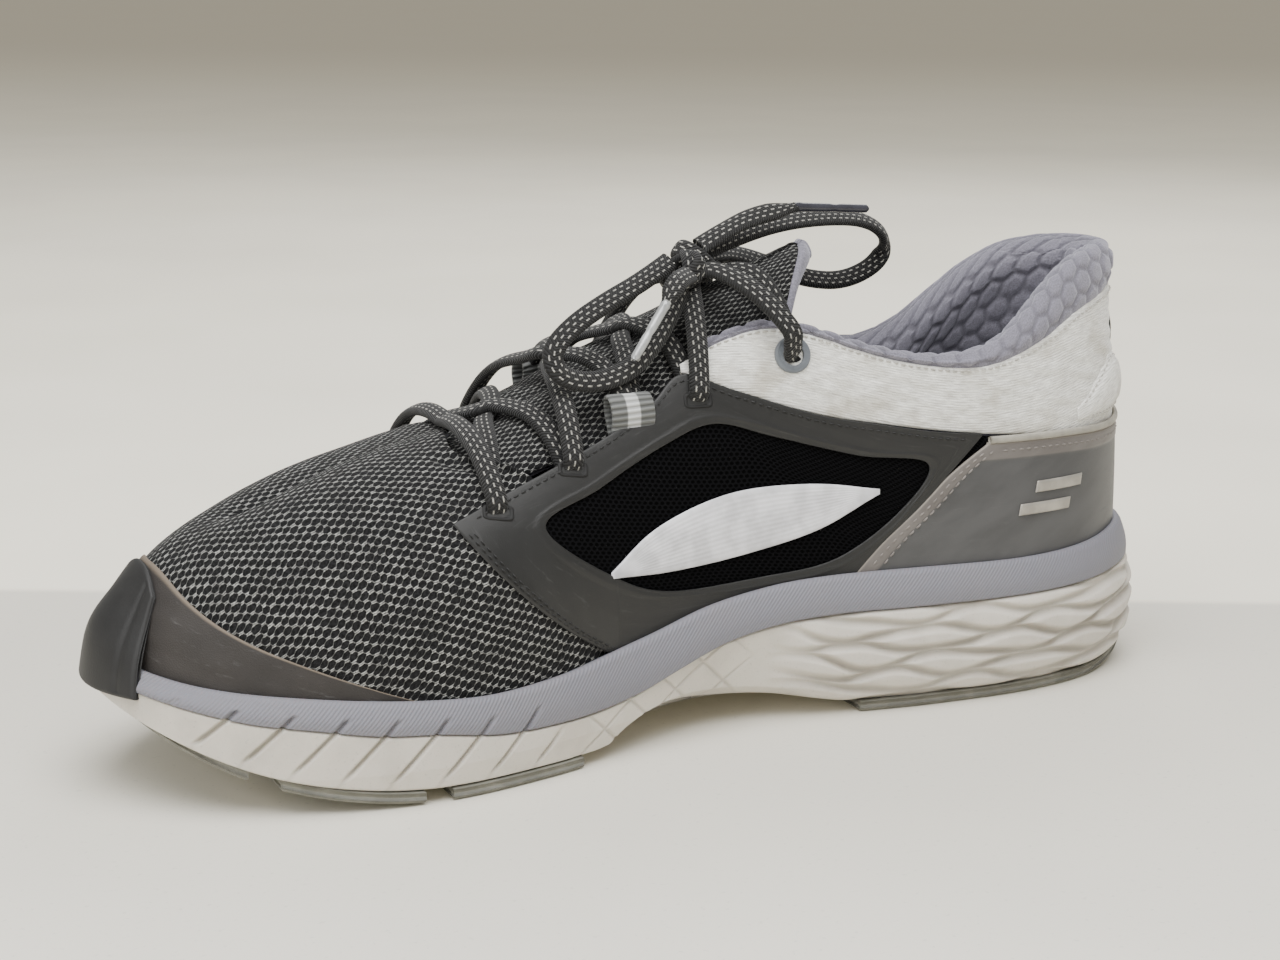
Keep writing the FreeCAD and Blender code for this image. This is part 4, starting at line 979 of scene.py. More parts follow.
def make_knot():
    """The bow's knot: the loops' roots, with the lace wrapped over them."""
    t = np.linspace(0, 2 * math.pi, 70)
    tubes = []
    for k, (centre, size, lean, turn) in enumerate((
            ((11, 0, 117.5), (5.2, 7.0, 5.0), 0.25, 0.5),
            ((14, 2.5, 119), (6.8, 5.0, 4.4), -0.5, 2.1),
            ((8, -3, 117), (6.2, 5.4, 4.2), 0.7, 3.6))):
        x = np.cos(t + turn) * size[0] * math.sin(lean)
        y = np.sin(t + turn) * size[1]
        z = np.cos(t + turn) * size[2]
        x = x + np.sin(t) * 2.0
        path = np.stack([x, y, z], -1) * 0.78 + np.array(centre)
        tubes.append(tube_mesh(f"wrap{k}", path, unit(path - np.array(centre) + 1e-3), lace_section,
                               20))
    joined("lace_bow_knot", tubes, LACE, ["lace_knot"])


def make_webbing():
    for side, name in SIDES:
        x = LOOP_EYELET[0]
        k = np.linspace(0, 1, 70)
        steps = np.linspace(0, 1, 7)
        zz = smooth(list(zip(steps, (72, 80, 86.5, 88.6, 87.2, 84.2, 81.2))), k)
        off = smooth(list(zip(steps, (-2.1, -2.4, -2.2, 0.4, 2.9, 2.6, 0.2))), k)
        u = u_of(side, x, zz)
        path = skin(u, v_of(u, zz), off)
        facing = np.cross(unit(np.gradient(path, axis=0)), np.array([1.0, 0, 0]))
        ob = tube_mesh("loop_tape_" + name, path, facing, lambda _: (6.0, 0.55, 5.0), 28)
        finish_piece(ob, TAPE, "shoe", ["webbing_loop_" + name])


make_laced()
make_knot()
make_webbing()


# ---------------------------------------------------------------- places of the panels

def listed(values, k):
    """The smooth curve through the values, at k of them."""
    return smooth(list(enumerate(values)), k)


SEAM_X = [(-1.0, -27), (-0.8, -36), (-0.6, -50), (-0.45, -62), (-0.3, -60), (0, -54), (0.3, -60),
          (0.45, -62), (0.6, -50), (0.8, -36), (1.0, -27)]
QUARTER_TOP = [(-62, 66.5), (-48, 70.5), (-35, 75), (-22, 80), (-10, 86), (0, 92.5), (14, 88),
               (37, 80.3), (55, 76.8), (77, 73.3), (100, 70.8), (120, 69.3), (134, 68.3)]
SADDLE_TOP = [(-69, 63.5), (-48, 71), (-35, 75.5), (-22, 80.5), (-10, 86.5), (0, 93),
              (14, 88.4), (37, 80.9), (55, 77.3), (70, 74.6), (85, 72.9)]
WINDOW = [(-45, 60.5), (-28, 68), (-8, 76.5), (7, 80.5), (24, 76), (48, 69.5), (68, 66),
          (60, 54), (42, 42.5), (20, 39.5), (-8, 39.5), (-26, 46)]
BLADE_LOW = [(-27, 45.6), (-8, 44.6), (14, 46), (36, 50.5), (54, 59)]
BLADE_TOP = [(-27, 47.0), (-12, 56.5), (10, 62.5), (34, 63), (54, 60.2)]
FOXING_FRONT = [(30, 40), (45, 54), (55, 66), (63, 75), (70, 86)]     # x of its edge at height z
FOXING_TOP = [(0, 70.5), (0.12, 70.0), (0.3, 69.0), (0.5, 71.5), (0.7, 69.0), (0.88, 68.5),
              (1, 67.5)]
HEEL_PATCH = [(0, 3), (0.22, 10), (0.45, 16.2), (0.62, 15.5), (1, 9)]
TOE_CAP = [(0, -1.2), (0.18, 9.5), (0.36, 19.5), (0.5, 21), (0.64, 19.5), (0.82, 9.5), (1, -1.2)]
HEEL_BARS = ((102.5, 119.5, 55.3, 58.5), (97, 115, 49.4, 52.6))   # x, x, z, z
GUARD_SIZE, GUARD_ROUND = (40, 34), 1.2
PAD_LOW = 67.0
TONGUE_ROOT, TONGUE_TIP, TONGUE_OUT, TONGUE_SINK = -71.0, 41.0, 4.4, 5.4
TONGUE_REACH = [(-71, 0.56), (-40, 0.62), (0, 0.70), (41, 0.62)]


def vamp_place(front, shift, back=SEAM_X):
    def place(a, b):
        side = 2 * b - 1
        return across(front + (smooth(back, side) + shift - front) * a, side)

    return place


def back_fade(x):
    return np.clip((x + 5) / 15, 0, 1) * np.clip((112 - x) / 30, 0, 1)


def quarter_place(side):
    u_back = 0.03 if side < 0 else TURN - 0.03
    u_low = u_of(side, -19.0, smooth(FOOTBED, np.array(-19.0)) + 1)
    x, z = columns(QUARTER_TOP)
    z = z - (LATERAL_DROP * back_fade(x) if side > 0 else 0)
    us = np.append(u_of(side, x, z), u_back)
    zs = np.append(z, HEEL_SEAM_Z - 1.7)

    def place(a, b):
        k = a * (len(us) - 1)
        ub = u_low + (u_back - u_low) * a
        u = ub + (listed(us, k) - ub) * b
        zb = section(u)[0][..., 2] + 0.3
        return u, v_of(u, zb + (listed(zs, k) - zb) * b)

    return place


def collar_place(side):
    u_front = u_of(side, 0.5, 95)
    u_back = 0.03 if side < 0 else TURN - 0.03

    def place(a, b):
        u = u_front + (u_back - u_front) * a
        low = edge_height(COLLAR_LOW, HEEL_SEAM_Z, u) - 0.2
        return u, v_of(u, low + (edge_height(PANEL_TOP, PANEL_BACK_Z, u) - low) * b)

    return place


def heel_place(front, low, high):
    """Round the heel, from x = front on the medial side to the same on the lateral one."""
    u0, u1 = u_of(-1, front, 50.0), u_of(1, front, 50.0) - TURN

    def place(a, b):
        u = u0 + (u1 - u0) * a
        zl, zh = low(u), high(u)
        return u, v_of(u, zl + (zh - zl) * b)

    return place


def saddle_edge(side, count):
    """Corner places (u, z) of the saddle's outer edge, as four runs: front, top, back, bottom."""
    x, z = columns(SADDLE_TOP)
    z = z - drop_at(side, x)
    us = u_of(side, x, z)
    low_x = np.array([-25, 0, 22, 45.5])
    lows = u_of(side, low_x, rim(low_x) + 1)
    up = np.linspace(0, 1, count)

    def low_z(u):
        return rim(bare(u, 0.1)[..., 0]) - 2.5

    def slanted(ub, ut, zt):
        u = ub + (ut - ub) * up
        zb = low_z(u)
        return np.stack([u, zb + (zt - zb) * up], -1)

    front = slanted(lows[0], us[0], z[0])
    back = slanted(lows[-1], us[-1], z[-1])[::-1]
    k = up * (len(us) - 1)
    top = np.stack([listed(us, k), listed(z, k)], -1)
    ub = listed(lows, up * 3)[::-1]
    bottom = np.stack([ub, low_z(ub)], -1)
    return [front, top, back, bottom]


def window_edge(side, count):
    """The window's edge as the four runs that face the saddle's outer ones."""
    n = len(WINDOW)
    ks = np.arange(-2, n + 3)
    pts = np.array([WINDOW[k % n] for k in ks], float)
    runs = []
    for k0, k1 in ((-1, 0), (0, 6), (6, 8), (8, 11)):
        k = np.linspace(k0, k1, count)
        x = smooth(list(zip(ks, pts[:, 0])), k)
        z = smooth(list(zip(ks, pts[:, 1])), k)
        runs.append(np.stack([u_of(side, x, z), z], -1))
    return runs


def patch_place(side, low, high):
    def ends(points):
        x, z = columns(points)
        k = np.linspace(0, len(points) - 1, 17)
        x, z = listed(x, k), listed(z, k)
        return u_of(side, x, z), z

    (u0, z0), (u1, z1) = ends(low), ends(high)

    def place(a, b):
        ua, ub = listed(u0, a * 16), listed(u1, a * 16)
        za, zb = listed(z0, a * 16), listed(z1, a * 16)
        u = ua + (ub - ua) * b
        return u, v_of(u, za + (zb - za) * b)

    return place


def foxing_place():
    z = np.arange(30, 74, 4.0)
    x = smooth(FOXING_FRONT, z)
    left, right = u_of(-1, x, z), u_of(1, x, z) - TURN

    def place(a, b):
        zz = 36 + (smooth(FOXING_TOP, a) - 36) * b
        u = smooth(list(zip(z, left)), zz) * (1 - a) + smooth(list(zip(z, right)), zz) * a
        return u, v_of(u, zz)

    return place


def toe_cap_place(a, b):
    u0, u1 = u_of(-1, -80, rim(np.array(-80.0)) + 1), u_of(1, -72, rim(np.array(-72.0)) + 1)
    u = u0 + (u1 - u0) * a
    zb = rim(bare(u, 0.1)[..., 0]) - 2.0
    return u, v_of(u, zb + (smooth(TOE_CAP, a) + 2.0) * b)


def heel_patch_place(side):
    u0 = u_of(side, 118, 80)
    u1 = 0.1 if side < 0 else TURN - 0.1

    def place(a, b):
        u = u0 + (u1 - u0) * a
        return u, v_of(u, 73.2 + smooth(HEEL_PATCH, a) * b)

    return place


def tongue_place(a, b, beyond=0.0):
    side = 2 * b - 1
    c = TONGUE_ROOT + (TONGUE_TIP - 9 * np.abs(side) ** 3 + beyond - TONGUE_ROOT) * a
    return c, side * smooth(TONGUE_REACH, c)


def tongue_sink(c):
    return TONGUE_OUT + TONGUE_SINK * ease(c, 0, TONGUE_TIP)


# ---------------------------------------------------------------- the upper

def soft_noise(p, scale, seed=0):
    """Smooth folds about scale mm apart, from a few waves in fixed directions."""
    rng = np.random.default_rng(seed)
    total = np.zeros(p.shape[:-1])
    for _ in range(7):
        k = unit(rng.normal(size=3)) * 2 * math.pi / scale * rng.uniform(0.6, 1.6)
        total += np.sin((p * k).sum(-1) + rng.uniform(0, 6.3))
    return total / 4


def hexes(uv, pitch):
    """Distance in cell halves from the nearest border of a hexagonal tiling, 0 at a border."""
    s, t = uv[..., 0] / pitch, uv[..., 1] / pitch
    best = []
    for ds, dt in ((0, 0), (0.5, math.sqrt(3) / 2)):
        a = np.mod(s + ds + 0.5, 1) - 0.5
        b = np.mod(t + dt + math.sqrt(3) / 2, math.sqrt(3)) - math.sqrt(3) / 2
        best.append(np.stack([a, b], -1))
    d0, d1 = (np.hypot(q[..., 0], q[..., 1]) for q in best)
    q = np.where((d0 < d1)[..., None], best[0], best[1])
    reach = np.maximum(np.abs(q[..., 0]), np.maximum(
        np.abs(q[..., 0] * 0.5 + q[..., 1] * math.sqrt(3) / 2),
        np.abs(q[..., 0] * 0.5 - q[..., 1] * math.sqrt(3) / 2)))
    return 1 - np.minimum(reach * 2, 1)


def make_upper():
    inside = -FABRIC - GAP
    seam = [(q, x + (2 if abs(q) < 0.95 else 9) * (abs(q) > 0.4)) for q, x in SEAM_X]

    def vamp_relief(a, b, uv, p):
        under = ease(np.abs(2 * b - 1), 0.38, 0.5) * ease(a, 0.9, 0.955)
        return 0.12 * soft_noise(p, 14, 3) - 1.5 * under

    shell("vamp_cloth", vamp_place(-143.5, -0.6, seam), (95, 150), (170, 240), -FABRIC, 0.0,
          GREY_MESH, stands_for=["vamp_mesh"], relief=vamp_relief)
    shell("toe_stiffening", vamp_place(-141, 0, [(-1, -118), (1, -116)]), (25, 90), (16, 50),
          inside - 0.8, inside, LINING, stands_for=["toe_puff"])
    shell("toe_lining", vamp_place(-139, -3), (90, 150), (50, 60), inside - 1.72, inside - 0.92,
          LINING, stands_for=["vamp_lining"])
    for side, name in SIDES:
        shell("quarter_cloth_" + name, quarter_place(side), (170, 40), (150, 40), -FABRIC, 0.0,
              BLACK_MESH, stands_for=["quarter_mesh_" + name])
        make_saddle(side, name)
        shell("collar_jersey_" + name, collar_place(side), (140, 26), (200, 56), -FABRIC, 0.0,
              JERSEY, stands_for=["collar_panel_" + name],
              relief=lambda a, b, uv, p: (0.3 * soft_noise(p, 13, 5) + 0.3 * soft_noise(p, 6, 9)
                                          + 0.5) * np.sin(math.pi * b) ** 0.7)
        shell("side_leaf_" + name, patch_place(side, BLADE_LOW, BLADE_TOP), (82, 15), (150, 44),
              GAP, 1.0, WHITE_PLASTIC, stands_for=["side_blade_" + name], r=0.8,
              relief=lambda a, b, uv, p: 0.13 * np.sin((b - 0.5) * 13 * math.pi) ** 2
              + 0.35 * np.sin(math.pi * b) * np.sin(math.pi * a) ** 0.5)
        shell("heel_pillow_" + name, heel_patch_place(side), (26, 13), (60, 40), GAP, 0.9, JERSEY,
              stands_for=["heel_patch_" + name], r=1.2,
              relief=lambda a, b, uv, p: 2.1 * np.sin(math.pi * a) ** 0.8
              * np.sin(math.pi * b) ** 0.7)

    def foxing_band(a, b):
        from_edge = np.minimum(np.minimum(a, 1 - a) * 225, (1 - b) * 32)
        return 1 - ease(from_edge, 4.2, 4.6)

    shell("heel_film", foxing_place(), (225, 34), (300, 70), GAP, GAP + FILM, GREY_FILM,
          stands_for=["heel_foxing"], r=0.5, extra={"band": foxing_band},
          relief=lambda a, b, uv, p: 0.22 * foxing_band(a, b))
    for side, name in SIDES:
        for k, (x0, x1, z0, z1) in enumerate(HEEL_BARS):
            place = patch_place(side, [(x0 - 0.6, z0), (x1 - 0.6, z0)], [(x0, z1), (x1, z1)])
            shell(f"bar_{name}_{k}", place, (18, 3.2), (40, 14), GAP + FILM - 0.3,
                  GAP + FILM + 0.75, REFLECTIVE, r=0.8, stands_for=["reflective_bars_" + name])
    shell("toe_film_cap", toe_cap_place, (130, 16), (200, 36), GAP, GAP + FILM, TOE_FILM,
          stands_for=["toe_cap_overlay"], r=0.5,
          relief=lambda a, b, uv, p: 0.1 * soft_noise(p, 6, 8))

    make_toe_guard()
    make_piping()
    make_linings()


def make_toe_guard():
    """The rubber guard over the toe's tip, from above the film down over the sole's band."""
    rows, cols = 96, 84
    a = edge_lines(cols - 8, GUARD_SIZE[0], GUARD_ROUND)[None, :]
    b = edge_lines(rows - 8, GUARD_SIZE[1], GUARD_ROUND)[:, None]
    u = TOE + (2 * a - 1) * (1.22 - 0.2 * b)
    at, normal = outline(u)
    bed, under = smooth(FOOTBED, at[..., 0]), smooth(DECK_UNDER, at[..., 0])
    top = bed + RIM_RISE + 20.0 - 4.5 * np.abs(2 * a - 1) ** 3
    side = np.abs(2 * a - 1)
    low = under - 3.5 + 2.0 * side ** 2
    z = low + (top - low) * b
    edge = edge_distance(a, b, GUARD_SIZE)
    soft = 0.9 * rounding(edge, GUARD_ROUND)
    groove = np.exp(-((side - 0.74) / 0.05) ** 2)
    swell = 2.4 * np.exp(-((a - 0.5) / 0.34) ** 2 - ((b - 0.5) / 0.26) ** 2)
    above = ease(z, bed - 3, bed + RIM_RISE + 13)
    layers = []
    for out, low_off, high_off in ((True, 7.1, 2.4), (False, 4.4, 1.0)):
        off = low_off + (high_off - low_off) * above
        if out:
            off = off + (swell - 0.35 * groove * ease(edge, 0.8, 2.0) - soft)
        else:
            off = off + 0.2 * soft
        low_part = np.concatenate([at + normal * off[..., None], z[..., None]], -1)
        high_part = skin(u, v_of(u, z), off)
        w = ease(z, bed - 1, bed + RIM_RISE + 7)[..., None]
        layers.append((low_part * (1 - w) + high_part * w).reshape(-1, 3))
    verts = np.concatenate(layers)
    ob = mesh_object("toe_guard", verts, orient(verts, slab_faces(rows, cols)), verts[:, 1:])
    finish_piece(ob, SLATE, "shoe", ["toe_bumper"])


def make_saddle(side, name):
    count = 90
    outer = np.concatenate([run[:-1] for run in saddle_edge(side, count)])
    inner = np.concatenate([run[:-1] for run in window_edge(side, count)])
    gap = np.linalg.norm(skin(outer[:, 0], v_of(outer[:, 0], outer[:, 1]))
                         - skin(inner[:, 0], v_of(inner[:, 0], inner[:, 1])), axis=-1)
    w = edge_lines(22, 12.0, 0.6)[None, :]
    u = outer[:, :1] + (inner[:, :1] - outer[:, :1]) * w
    z = outer[:, 1:] + (inner[:, 1:] - outer[:, 1:]) * w
    edge = np.minimum(w, 1 - w) * gap[:, None]

    def relief(uv, p):
        near = (1 - w) * gap[:, None]
        return 0.28 * np.exp(-((near - 2.2) / 0.55) ** 2)

    skin_shell("saddle_film_" + name, u, v_of(u, z), edge, 0.6, GAP, GAP + FILM, DARK_FILM, "shoe",
               ["saddle_overlay_" + name], relief, closed=True)


def make_piping():
    place = foxing_place()
    a = np.linspace(0, 1, 220)
    u, v = place(a, np.ones(220))
    u2, v2 = place(a, np.full(220, 0.94))
    top, low = skin(u, v, 0.9), skin(u2, v2, 0.9)
    path = top + unit(top - low) * 1.0
    ob = tube_mesh("heel_edge_piping", path, skin_normal(u, v), lambda k: (1.0, 0.75, 2.4), 14)
    finish_piece(ob, PIPING, "shoe", ["heel_piping"])


def make_linings():
    inside = -FABRIC - GAP

    def bed(u):
        return section(u)[0][..., 2] + 0.8

    def top(u):
        return np.full(np.shape(u), PAD_LOW - 1)

    shell("heel_board", heel_place(84, bed, top), (150, 36), (60, 12), inside - 1.4, inside, BOARD,
          stands_for=["heel_stiffener"])
    shell("heel_lining_cloth", heel_place(40, bed, top), (210, 36), (120, 30), inside - 2.32,
          inside - 1.52, LINING, stands_for=["heel_lining"])
    make_collar_roll()


def make_collar_roll():
    """The padded roll round the ankle, with its embossed cells."""
    n, m = 560, 190
    a = np.linspace(0, 1, n)
    u0, u1 = u_of(-1, 6.0, 90.0), u_of(1, 6.0, 90.0) - TURN
    u = u0 + (u1 - u0) * a
    high = edge_height(COLLAR_TOP, HEEL_TOP_Z, u)
    panel = edge_height(PANEL_TOP, PANEL_BACK_Z, u)
    full = ease(np.minimum(a, 1 - a), 0.0, 0.26)
    front = 1 - ease(np.minimum(a, 1 - a), 0.05, 0.22)
    high = high + 1.6 * front
    deep = 3.0 + 6.4 * full
    low = PAD_LOW + (panel - PAD_LOW - 9) * (1 - ease(np.minimum(a, 1 - a), 0.0, 0.2))
    tall = high - panel
    knots = [(-1.0, panel - 2.0), (-0.25, panel + 0.2), (0.55 * full + 0.15, panel + 0.4 * tall),
             (-0.3, high - 1.5), (-deep * 0.25, high + 0.35), (-deep * 0.58, high + 0.2),
             (-deep * 0.88, high - 2.2), (-deep - 0.2, high - 6.0), (-deep, high - 11.0),
             (-deep * 0.86, low + (high - low) * 0.5),
             (-deep * 0.6 - 0.6, low + (high - low) * 0.25),
             (-2.4 - 0.4 * full, low), (-1.6, low + 1.5), (-1.5, (low + panel) / 2)]
    off = np.stack([np.broadcast_to(k[0], (n,)) for k in knots], -1)
    z = np.stack([np.broadcast_to(k[1], (n,)) for k in knots], -1)
    k = len(knots)
    loop = np.arange(-2, k + 3)
    places = np.linspace(0, k, m, endpoint=False)
    spread = lambda rows: np.stack([smooth(list(zip(loop, np.take(row, loop % k))), places)
                                    for row in rows])
    off, z = spread(off), spread(z)
    grid_u = np.broadcast_to(u[:, None], off.shape)
    base_v = v_of(grid_u, z)
    base = skin(grid_u, base_v, off)
    uv = arc_uv(base)
    normal = unit(np.cross(np.gradient(base, axis=0), np.gradient(base, axis=1)))
    middle = base.mean(axis=1, keepdims=True)
    normal *= np.where(((base - middle) * normal).sum(-1).mean() < 0, -1, 1)
    cell = hexes(uv, 7.2)
    # painted shade: the groove mask darkens the cloth between the cells
    groove = 1 - ease(cell, 0.05, 0.3)
    shown = np.ones(m) * ease(places, 0.6, 1.6) * (1 - ease(places, 10.2, 11.2))
    base = base + normal * ((0.62 * ease(cell, 0.03, 0.42) - 0.3) * shown
                            + 0.25 * soft_noise(base, 22, 4))[..., None]
    verts = base.reshape(-1, 3)
    faces = grid_faces(n, m, wrap_m=True)
    caps = [list(range(m)), [(n - 1) * m + q for q in range(m)][::-1]]
    if inside_out(verts, faces):
        faces = faces[:, ::-1]
    else:
        caps = [c[::-1] for c in caps]
    ob = mesh_object("collar_roll", verts, faces.tolist() + caps, uv.reshape(-1, 2),
                     {"hollow_shade": groove * shown})
    finish_piece(ob, PLUSH, "shoe", ["collar_lining", "collar_foam"])


def make_tongue():
    def layer(name, inner, outer, material, nodes, count, relief=None):
        size = (112, 60)
        r = 0.7 * (outer - inner)
        a = edge_lines(count[0], size[0], r)[:, None]
        b = edge_lines(count[1], size[1], r)[None, :]
        a, b = np.broadcast_arrays(a, b)
        c, side = tongue_place(a, b)
        u, v = across(c, side)
        edge = edge_distance(a, b, size)
        sink = tongue_sink(c)
        return skin_shell(name, u, v, edge, r, inner - sink, outer - sink, material, "tongue",
                          nodes, relief and (lambda uv, p: relief(a, b, p)))

    def pillow(a, b, p):
        return (0.8 * np.sin(math.pi * b) ** 0.5 * ease(a, 0.5, 0.9)
                + 0.3 * soft_noise(p, 16, 11))

    face = layer("tongue_cloth", -FABRIC, 0.0, GREY_MESH, ["tongue_mesh"], (150, 90), pillow)
    core = layer("tongue_padding", -5.64, -FABRIC - GAP, PLUSH, ["tongue_foam", "tongue_lining"],
                 (90, 60))
    b = np.linspace(0.02, 0.98, 120)
    c, side = tongue_place(np.ones(120), b, 0.9)
    u, v = across(c, side)
    path = skin(u, v, -2.9 - tongue_sink(c))
    ob = tube_mesh("tongue_edge", path, skin_normal(u, v), lambda k: (1.5, 2.9, 2.3), 20)
    finish_piece(ob, PLUSH, "tongue", ["tongue_binding"])


def make_trims():
    """Stitching, slot rims and the heel's pull tab."""
    def line(place, a, b, off):
        a, b = np.broadcast_arrays(np.asarray(a, float), np.asarray(b, float))
        u, v = place(a, b)
        return skin(u, v, off), skin_normal(u, v)

    k = np.linspace(0, 1, 160)
    film = GAP + FILM
    foxing = foxing_place()
    seams = []
    for a in (0.011, 0.022, 0.978, 0.989):
        seams.append(line(foxing, np.full(160, a), 0.08 + 0.86 * k, film + 0.05))
    seams.append(line(foxing, 0.03 + 0.94 * k, 0.93, film + 0.05))
    stitches("heel_film_stitches", seams, TAUPE_THREAD)
    seams = []
    for side in (-1, 1):
        front, top = saddle_edge(side, 120)[:2]
        for inset in (1.6, 3.0):
            u, z = front[:, 0], front[:, 1]
            x = bare(u, v_of(u, z))[:, 0] + inset
            u = u_of(side, x, z)
            v = v_of(u, z)
            seams.append((skin(u, v, film + 0.05)[4:-4], skin_normal(u, v)[4:-4]))
        u, z = top[:, 0], top[:, 1] - 1.7
        v = v_of(u, z)
        seams.append((skin(u, v, film + 0.05)[3:-3], skin_normal(u, v)[3:-3]))
    stitches("saddle_stitches", seams, BLACK_THREAD, pitch=2.3, length=1.6, radius=0.22)
    seams = []
    for side in (-1, 1):
        place = heel_patch_place(side)
        for a, b in ((0.04 + 0.92 * k, np.full(160, 0.93)), (np.full(160, 0.955), 0.1 + 0.8 * k),
                     (0.1 + 0.86 * k, np.full(160, 0.06))):
            seams.append(line(place, a, b, 1.05))
        place = collar_place(side)
        seams.append(line(place, 0.02 + 0.96 * k, 0.955, 0.35))
    stitches("jersey_stitches", seams, LIGHT_THREAD, pitch=2.2, length=1.5, radius=0.2)
    for side, name in SIDES:
        for number, (x, z) in enumerate(EYELETS[:3]):
            make_slot(side, x, z - drop_at(side, x), f"slot_{name}_{number + 1}")
    t = np.linspace(0, 1, 40)
    z = 86 + 15 * t
    path = skin(np.zeros(40), v_of(np.zeros(40), z), 0.8 + 1.7 * np.sin(math.pi * t) ** 0.8)
    ob = tube_mesh("heel_pull_tab", path, np.cross(unit(np.gradient(path, axis=0)), (0, 1, 0)),
                   lambda s: (4.2, 0.5, 5.0), 20)
    finish_piece(ob, DARK_TAPE, "shoe", ["pull_tab"])


def make_slot(side, x, z, name):
    """A raised rim round a lace slot, and a near-black cap in its opening: painted shade where the
    hole is.
    """
    u = float(u_of(side, x, z))
    v = float(v_of(u, z))
    centre, out = skin(u, v, GAP + FILM), skin_normal(u, v)
    up = unit(skin(u, v + 0.02) - skin(u, v - 0.02))
    along = np.cross(up, out)
    t = np.linspace(0, 2 * math.pi, 60, endpoint=False)
    shape = np.stack([np.sign(np.cos(t)) * np.abs(np.cos(t)) ** 0.4 * 4.0,
                      np.sign(np.sin(t)) * np.abs(np.sin(t)) ** 0.4 * 2.0], -1)
    rings = []
    for scale, off in ((1.0, -0.25), (1.0, 0.1), (0.94, 0.28), (0.84, 0.28), (0.76, 0.1),
                       (0.72, -0.05)):
        pts = centre + shape[:, :1] * along * scale + shape[:, 1:] * up * scale ** 1.6 + out * off
        rings.append(pts)
    rings.append(rings[-1] * 0.02 + centre * 0.98 + out * -0.05)
    rings.append(centre + (rings[0] - centre) * 0.02 + out * -0.3)
    verts = np.concatenate(rings)
    n, m = len(rings), len(t)
    faces = orient(verts, np.concatenate([grid_faces(n, m, wrap_m=True), np.stack(
        [np.arange(m), (np.arange(m) + 1) % m, (np.arange(m) + 1) % m + (n - 1) * m,
         np.arange(m) + (n - 1) * m], -1)[:, ::-1]]))
    ob = mesh_object(name, verts, faces, verts[:, :2])
    finish_piece(ob, SLOT_BLACK, "shoe")


make_upper()
make_tongue()
make_trims()


# ---------------------------------------------------------------- the sole

REACH = np.linspace(0, TURN, 1620, endpoint=False)
FLATS = ((-70, -35), (46, 120))
WALL_Z, WALL_OFF, WALL_WAIST = (-3, 9, 24, 48), (3, 5, 5, 3.6), (7, 4, 1, 0)
WAIST_X, WAIST_LONG = 6, 26                 # the medial arch: its middle and reach along the shoe
SCOOP, SCOOP_SIZE = (6, -41, -5), (40, 20, 19)
SLASH_PITCH, SLASH_LEAN, TREAD_PITCH = 13.0, 0.95, 7.5
LEAF_PITCH, LEAF_SWING, LEAF_WAVE = 3.7, 1.5, 44.0
PAD_ROUND = 0.8
BED_IN, BED_LIFT = -5.8, 1.6                # the insole: inside the outline, over the foot bed


def ground(x):
    """The height of the sole's underside at x."""
    level = sum((lo <= x) & (x <= hi) for lo, hi in FLATS)
    return np.where(level > 0, 0.0, np.maximum(smooth(GROUND, x), 0))


def wall_ring(off, waist):
    """The outline, off mm outside itself, and waist mm less at the medial arch."""
    at, normal = outline(REACH)
    pull = waist * np.exp(-((at[:, 0] - WAIST_X) / WAIST_LONG) ** 2) * (at[:, 1] < 0)
    return at + normal * (off - pull)[:, None]


ALONG = distances(outline(REACH)[0])
SPINE_X = np.linspace(-150, 150, 121)
_at = outline(REACH)[0]
_med, _lat = _at[: len(REACH) // 2 + 1], _at[len(REACH) // 2:]
SPINE = (np.interp(SPINE_X, _med[::-1, 0], _med[::-1, 1])
         + np.interp(SPINE_X, _lat[:, 0], _lat[:, 1])) / 2


def shrink_ring(ring, s):
    """The ring, shrunk towards the sole's middle line."""
    spine_x = np.clip(ring[:, 0], -126, 128)
    spine = np.stack([spine_x, np.interp(spine_x, SPINE_X, SPINE)], -1)
    return spine + (ring - spine) * s


def own_x(s):
    """The x that sets the height of a ring's points: the outline's, shrunk with the ring."""
    return shrink_ring(outline(REACH)[0], s)[:, 0]


def scooped(p, sideways):
    """The points, pushed out of the hollow under the medial arch."""
    x, y, z = p.T
    a, b, c = ((p - SCOOP) / SCOOP_SIZE).T
    inside = a * a + b * b + c * c < 1
    if sideways:
        wall = SCOOP[1] + SCOOP_SIZE[1] * np.sqrt(np.maximum(1 - a * a - c * c, 0))
        y = np.where(inside, wall, y)
    else:
        roof = SCOOP[2] + SCOOP_SIZE[2] * np.sqrt(np.maximum(1 - a * a - b * b, 0))
        z = np.where(inside, roof, z)
    return np.stack([x, y, z], -1)


def sole_piece(name, rows, material, nodes, attrs, body="shoe"):
    """A closed piece from rings of points, one per row, whose ends are zipped shut."""
    n = len(REACH)
    verts = np.concatenate(rows)
    faces = grid_faces(len(rows), n, wrap_m=True)
    last = (len(rows) - 1) * n
    k = np.arange(1, n // 2 - 1)
    zips = [np.stack([k, k + 1, n - k - 1, n - k], -1), (np.stack([k, k + 1, n - k - 1, n - k], -1)
                                                      + last)[:, ::-1]]
    tris = [[0, 1, n - 1], [n // 2, n // 2 + 1, n // 2 - 1],
            [last + n - 1, last + 1, last], [last + n // 2 - 1, last + n // 2 + 1, last + n // 2]]
    quads = np.concatenate([faces, *zips])
    turned = orient(verts, quads)
    if turned is not quads:
        tris = [t[::-1] for t in tris]
    uv = np.stack([np.tile(ALONG, len(rows)), verts[:, 2]], -1)
    if body == "insole":
        uv = verts[:, :2]
    ob = mesh_object(name, verts, turned.tolist() + tris, uv,
                     {key: np.concatenate(v) for key, v in attrs.items()})
    return finish_piece(ob, material, body, nodes)


def to_line(q, pitch):
    """The distance of q from the nearest of lines that are pitch apart."""
    return np.abs(np.mod(q / pitch + 0.5, 1) - 0.5) * pitch


